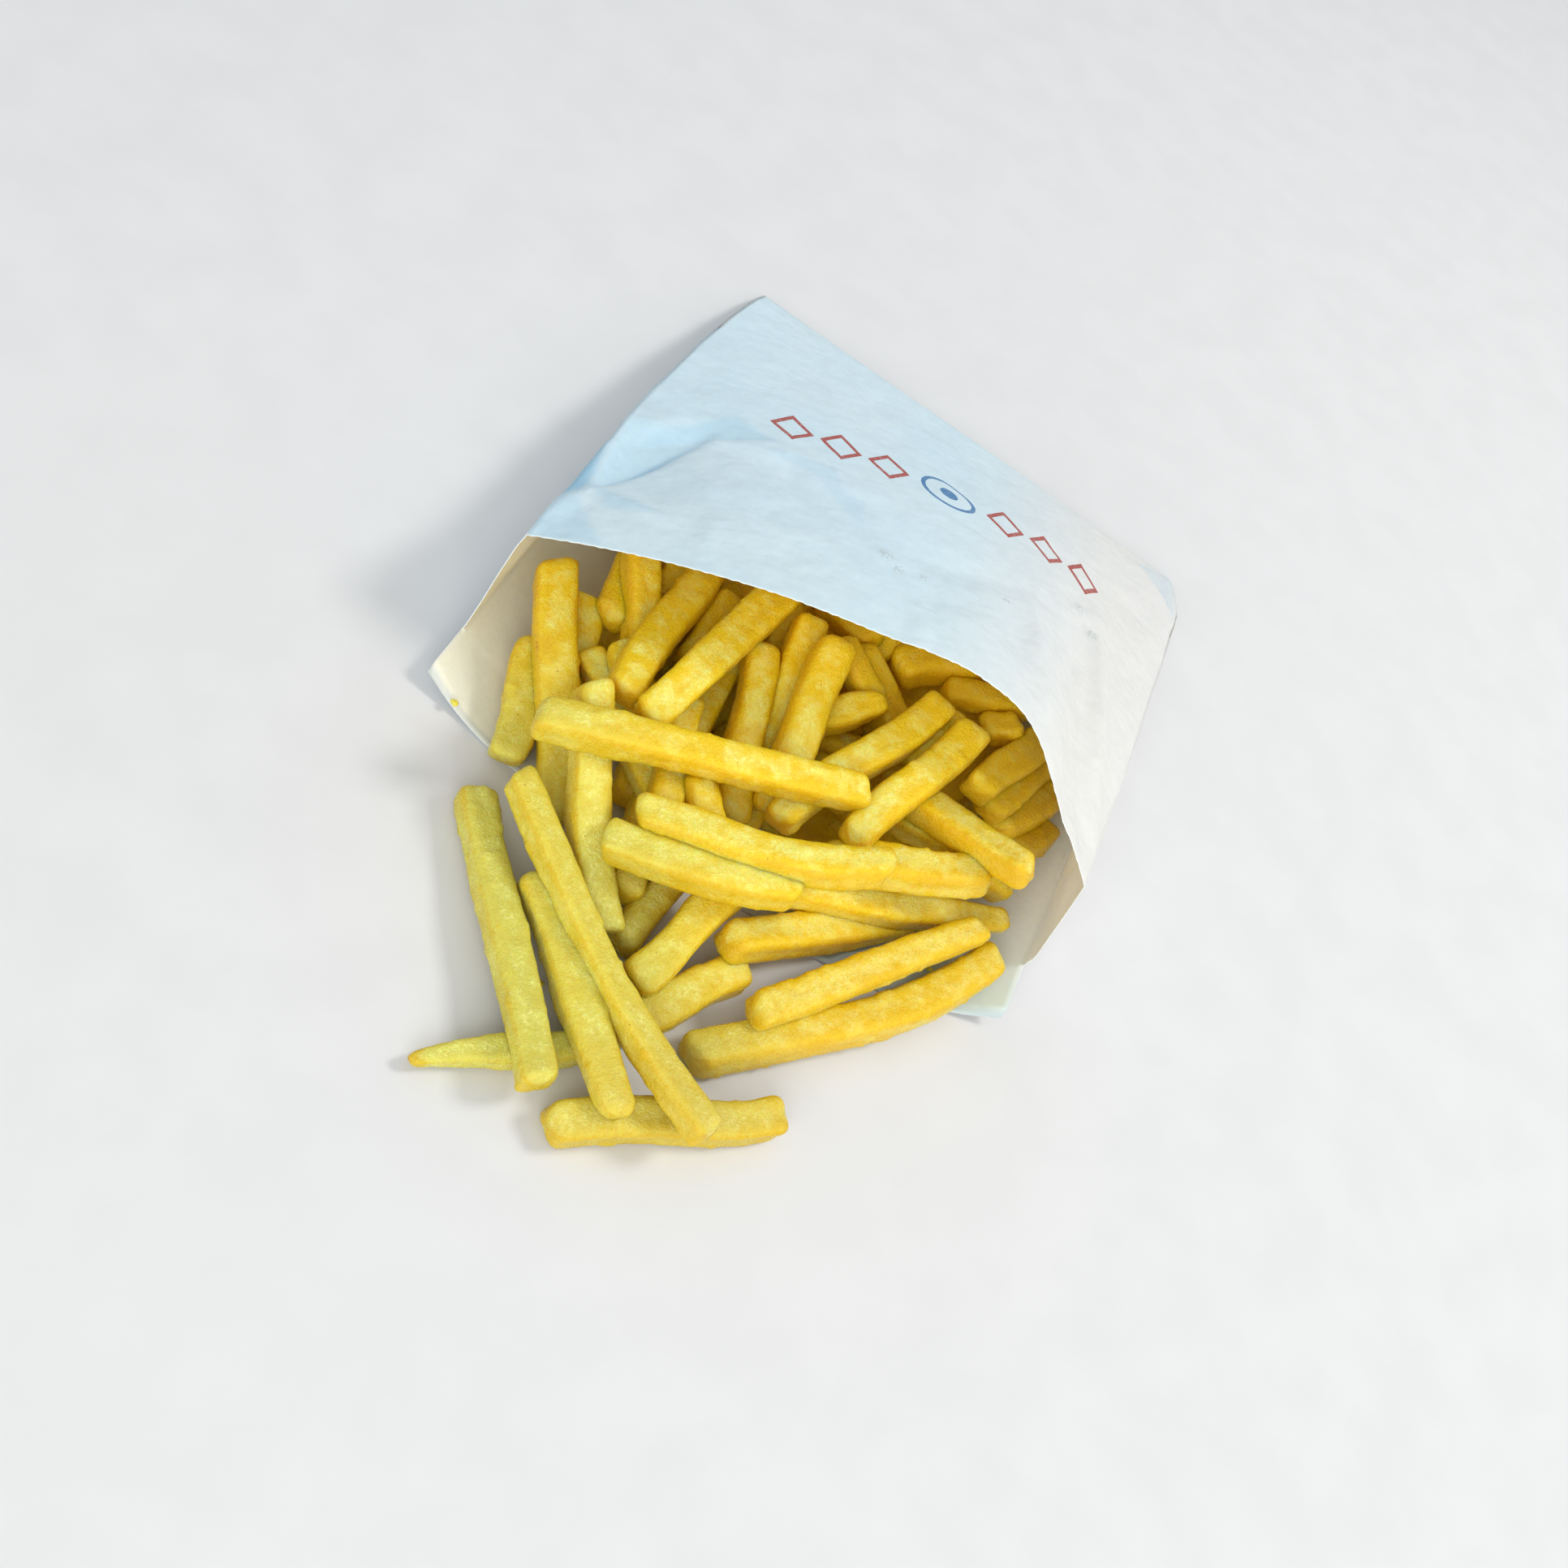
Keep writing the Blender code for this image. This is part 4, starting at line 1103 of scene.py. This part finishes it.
def build_hidden_fries():
    """Fries under and behind the ones that show: dropped at random where they stay under the core's top."""
    rng = np.random.default_rng(SEED + 20)
    top = core_height(*FIELD)
    roof = front_panel(*FIELD) - PAPER
    firm = np.maximum(ground(*FIELD), top - HIDDEN_DEPTH)
    laid = np.full_like(firm, EMPTY)
    surfaces = []
    for number in range(HIDDEN_TRIES):
        thick = rng.uniform(*HIDDEN_THICK)
        x, y = rng.uniform(*HIDDEN_X), rng.uniform(*HIDDEN_Y)
        length, angle = rng.uniform(*HIDDEN_LENGTH), rng.normal(math.pi / 2, HIDDEN_SPREAD)
        x0, y0 = x - length / 2 * math.cos(angle), y - length / 2 * math.sin(angle)
        x1, y1 = x + length / 2 * math.cos(angle), y + length / 2 * math.sin(angle)
        fry = (x0, y0, x1, y1, thick, rng.uniform(-1, 1), 0.0, HIDDEN_PRESSED)
        if min(y0, y1) < HIDDEN_ENDS_Y[0] or max(y0, y1) > HIDDEN_ENDS_Y[1]:
            continue
        if max(abs(x0), abs(x1)) > HIDDEN_HALF_WIDTH:
            continue
        z0, z1, tried = rest(fry, firm, laid)
        changed = tried > laid
        limit = np.minimum(top + HIDDEN_OVER, roof - PANEL_ROOM)
        if np.any(tried[changed] > limit[changed]):
            continue
        laid = tried
        seed = HIDDEN_SEED + number
        surfaces.append(fry_surface(fry, (z0, z1), seed, HIDDEN_ROW_STEP, HIDDEN_SIDES))
        if len(surfaces) == HIDDEN_MOST:
            break
    for number, (x0, y0, x1, y1, thick, height) in enumerate(GAP_FRIES):
        fry = (x0, y0, x1, y1, thick, 0.0, 0.0, PRESSED)
        surfaces.append(fry_surface(fry, (height, height), GAP_SEED + number))
    fry_piece("hidden_fries", surfaces, fried_potato("fried potato in the shade", HIDDEN_SHADE))


def build_core():
    """Core under the hidden fries: the part's core sunk by CORE_SINK, with fry-sized ridges on its top.

    Its top and its flat floor share the points of the rim, so it is closed.
    """
    share_x = np.linspace(-1, 1, CORE_COLUMNS)[None, :]
    share_y = np.linspace(0, 1, CORE_ROWS)[:, None]
    x = share_x * (CORE_HALF_WIDTH - CORE_INSET) + 0 * share_y
    y = CORE_RAMP[0][0] + (CORE_BACK_Y - CORE_RAMP[0][0]) * share_y + 0 * share_x
    floor = np.full(x.shape, PAPER + GAP)
    ridges = np.abs(np.sin(x / RIDGE_WIDTH + 0.8 * np.sin(y / 19))) * RIDGE_HEIGHT
    lumps = noise(np.stack([x, y, 0 * x], axis=-1), 7, SEED + 13)
    top = core_height(x, y - EDGE_STEP * np.sign(y)) - CORE_SINK - RIDGE_HEIGHT + ridges + lumps
    inner = (1 - np.abs(share_x) ** 8) * smooth_step(0, 0.03, share_y) * smooth_step(1, 0.97, share_y)
    top = floor + np.maximum(top - floor, CORE_LEAST) * inner
    points = np.concatenate([np.stack([x, y, top], axis=-1).reshape(-1, 3),
                             np.stack([x, y, floor], axis=-1).reshape(-1, 3)])
    upper = np.arange(x.size).reshape(x.shape)
    rim = np.ones(x.shape, dtype=bool)
    rim[1:-1, 1:-1] = False
    lower = np.where(rim, upper, upper + x.size)
    faces = np.array(grid_faces(upper) + grid_faces(lower, flip=True))
    keep = np.unique(faces)
    faces = np.searchsorted(keep, faces).tolist()
    points = points[keep]
    crust = 0.45 + 0.3 * noise(points, 5, SEED + 14)
    values = (("crust", crust), ("pale", np.full(len(points), 0.2)), ("front_left_light", np.zeros(len(points))))
    finish = fried_potato("fried potato of the core", CORE_SHADE)
    core = make_piece("heap_core", points, faces, (finish,), values)
    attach(core, "root")
    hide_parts("fries")


def build_crumbs():
    """Crumbs: small spheres pushed in and out by noise, on the lip's paper and beside the spilled fries."""
    rng = np.random.default_rng(SEED + 30)
    polar = np.linspace(0, math.pi, CRUMB_ROWS + 2)[1:-1, None]
    angle = np.linspace(0, 2 * math.pi, CRUMB_SIDES, endpoint=False)[None, :]
    sphere = np.stack([np.sin(polar) * np.cos(angle), np.sin(polar) * np.sin(angle),
                       np.cos(polar) + 0 * angle], axis=-1)
    surfaces = []
    for x, y, size in CRUMB_SPOTS:
        stretch = rng.uniform(*CRUMB_STRETCH) * size / 2
        rough = 1 + CRUMB_ROUGH * noise(sphere + 10 * rng.uniform(0, 9), 0.8, SEED + 31)
        ball = sphere * rough[..., None] * stretch
        height = float(ground(np.array(x), np.array(y)))
        if height > 0:
            height -= GAP
        poles = [[0, 0, ball[0, :, 2].mean() * 1.05], [0, 0, ball[-1, :, 2].mean() * 1.02]]
        points, faces = closed_tube(ball, poles, flip=True)
        points = points + (x, y, height - ball[..., 2].min())
        values = np.tile([rng.uniform(0.3, 0.8), 0.5, 0.1], (len(points), 1))
        surfaces.append((points, faces, values))
    fry_piece("crumbs", surfaces, fried_potato("fried crumb"))


# Floor, light and camera


def build_floor():
    """Square floor just under the bag, far wider than the picture."""
    around = ((-1, -1), (1, -1), (1, 1), (-1, 1))
    corners = [(x * FLOOR_HALF, y * FLOOR_HALF, -FLOOR_DROP) for x, y in around]
    floor = make_piece("floor", corners, [(0, 1, 2, 3)], (plain_floor(),), smooth=False)


def soft_light(name, place, size, power, colour):
    """Square area light at a place in metres, aimed at the bag's mouth."""
    data = bpy.data.lights.new(name, "AREA")
    data.shape = "SQUARE"
    data.size = size
    data.energy = power
    data.color = colour
    light = bpy.data.objects.new(name, data)
    light.location = place
    light.rotation_euler = (Vector(LIGHT_TARGET) - Vector(place)).to_track_quat("-Z", "Y").to_euler()
    bpy.context.scene.collection.objects.link(light)


def build_lights():
    """A soft window light from the upper right, a wide fill before the mouth, and a pale room."""
    soft_light("window light", *WINDOW_LIGHT)
    soft_light("front fill", *FRONT_FILL)
    world = bpy.data.worlds.new("pale room")
    world.use_nodes = True
    background = world.node_tree.nodes["Background"]
    background.inputs["Color"].default_value = ROOM_COLOUR
    background.inputs["Strength"].default_value = ROOM_STRENGTH
    bpy.context.scene.world = world
    bpy.context.scene.view_settings.view_transform = "Standard"


def build_camera():
    """Camera at the photograph's angle: back from the target by azimuth and elevation, then rolled."""
    azimuth, elevation, roll = (math.radians(a) for a in (CAMERA_AZIMUTH, CAMERA_ELEVATION, CAMERA_ROLL))
    back = Vector((math.sin(azimuth) * math.cos(elevation), -math.cos(azimuth) * math.cos(elevation),
                   math.sin(elevation)))
    right = Vector((math.cos(azimuth), math.sin(azimuth), 0))
    up = back.cross(right)
    picture_right = right * math.cos(roll) + up * math.sin(roll)
    picture_up = up * math.cos(roll) - right * math.sin(roll)
    place = Vector(to_metres([CAMERA_TARGET])[0]) + back * CAMERA_DISTANCE * MILLIMETRE
    data = bpy.data.cameras.new("camera")
    data.sensor_fit = "HORIZONTAL"
    data.sensor_width = SENSOR
    data.lens = FOCAL_PIXELS / PICTURE * SENSOR
    data.clip_start = 0.01
    camera = bpy.data.objects.new("camera", data)
    turn = Matrix((picture_right, picture_up, back)).transposed()
    camera.matrix_world = Matrix.Translation(place) @ turn.to_4x4()
    bpy.context.scene.collection.objects.link(camera)
    bpy.context.scene.camera = camera


build_camera()
build_lights()
build_floor()
build_bag()
build_fries()
build_hidden_fries()
build_core()
build_crumbs()
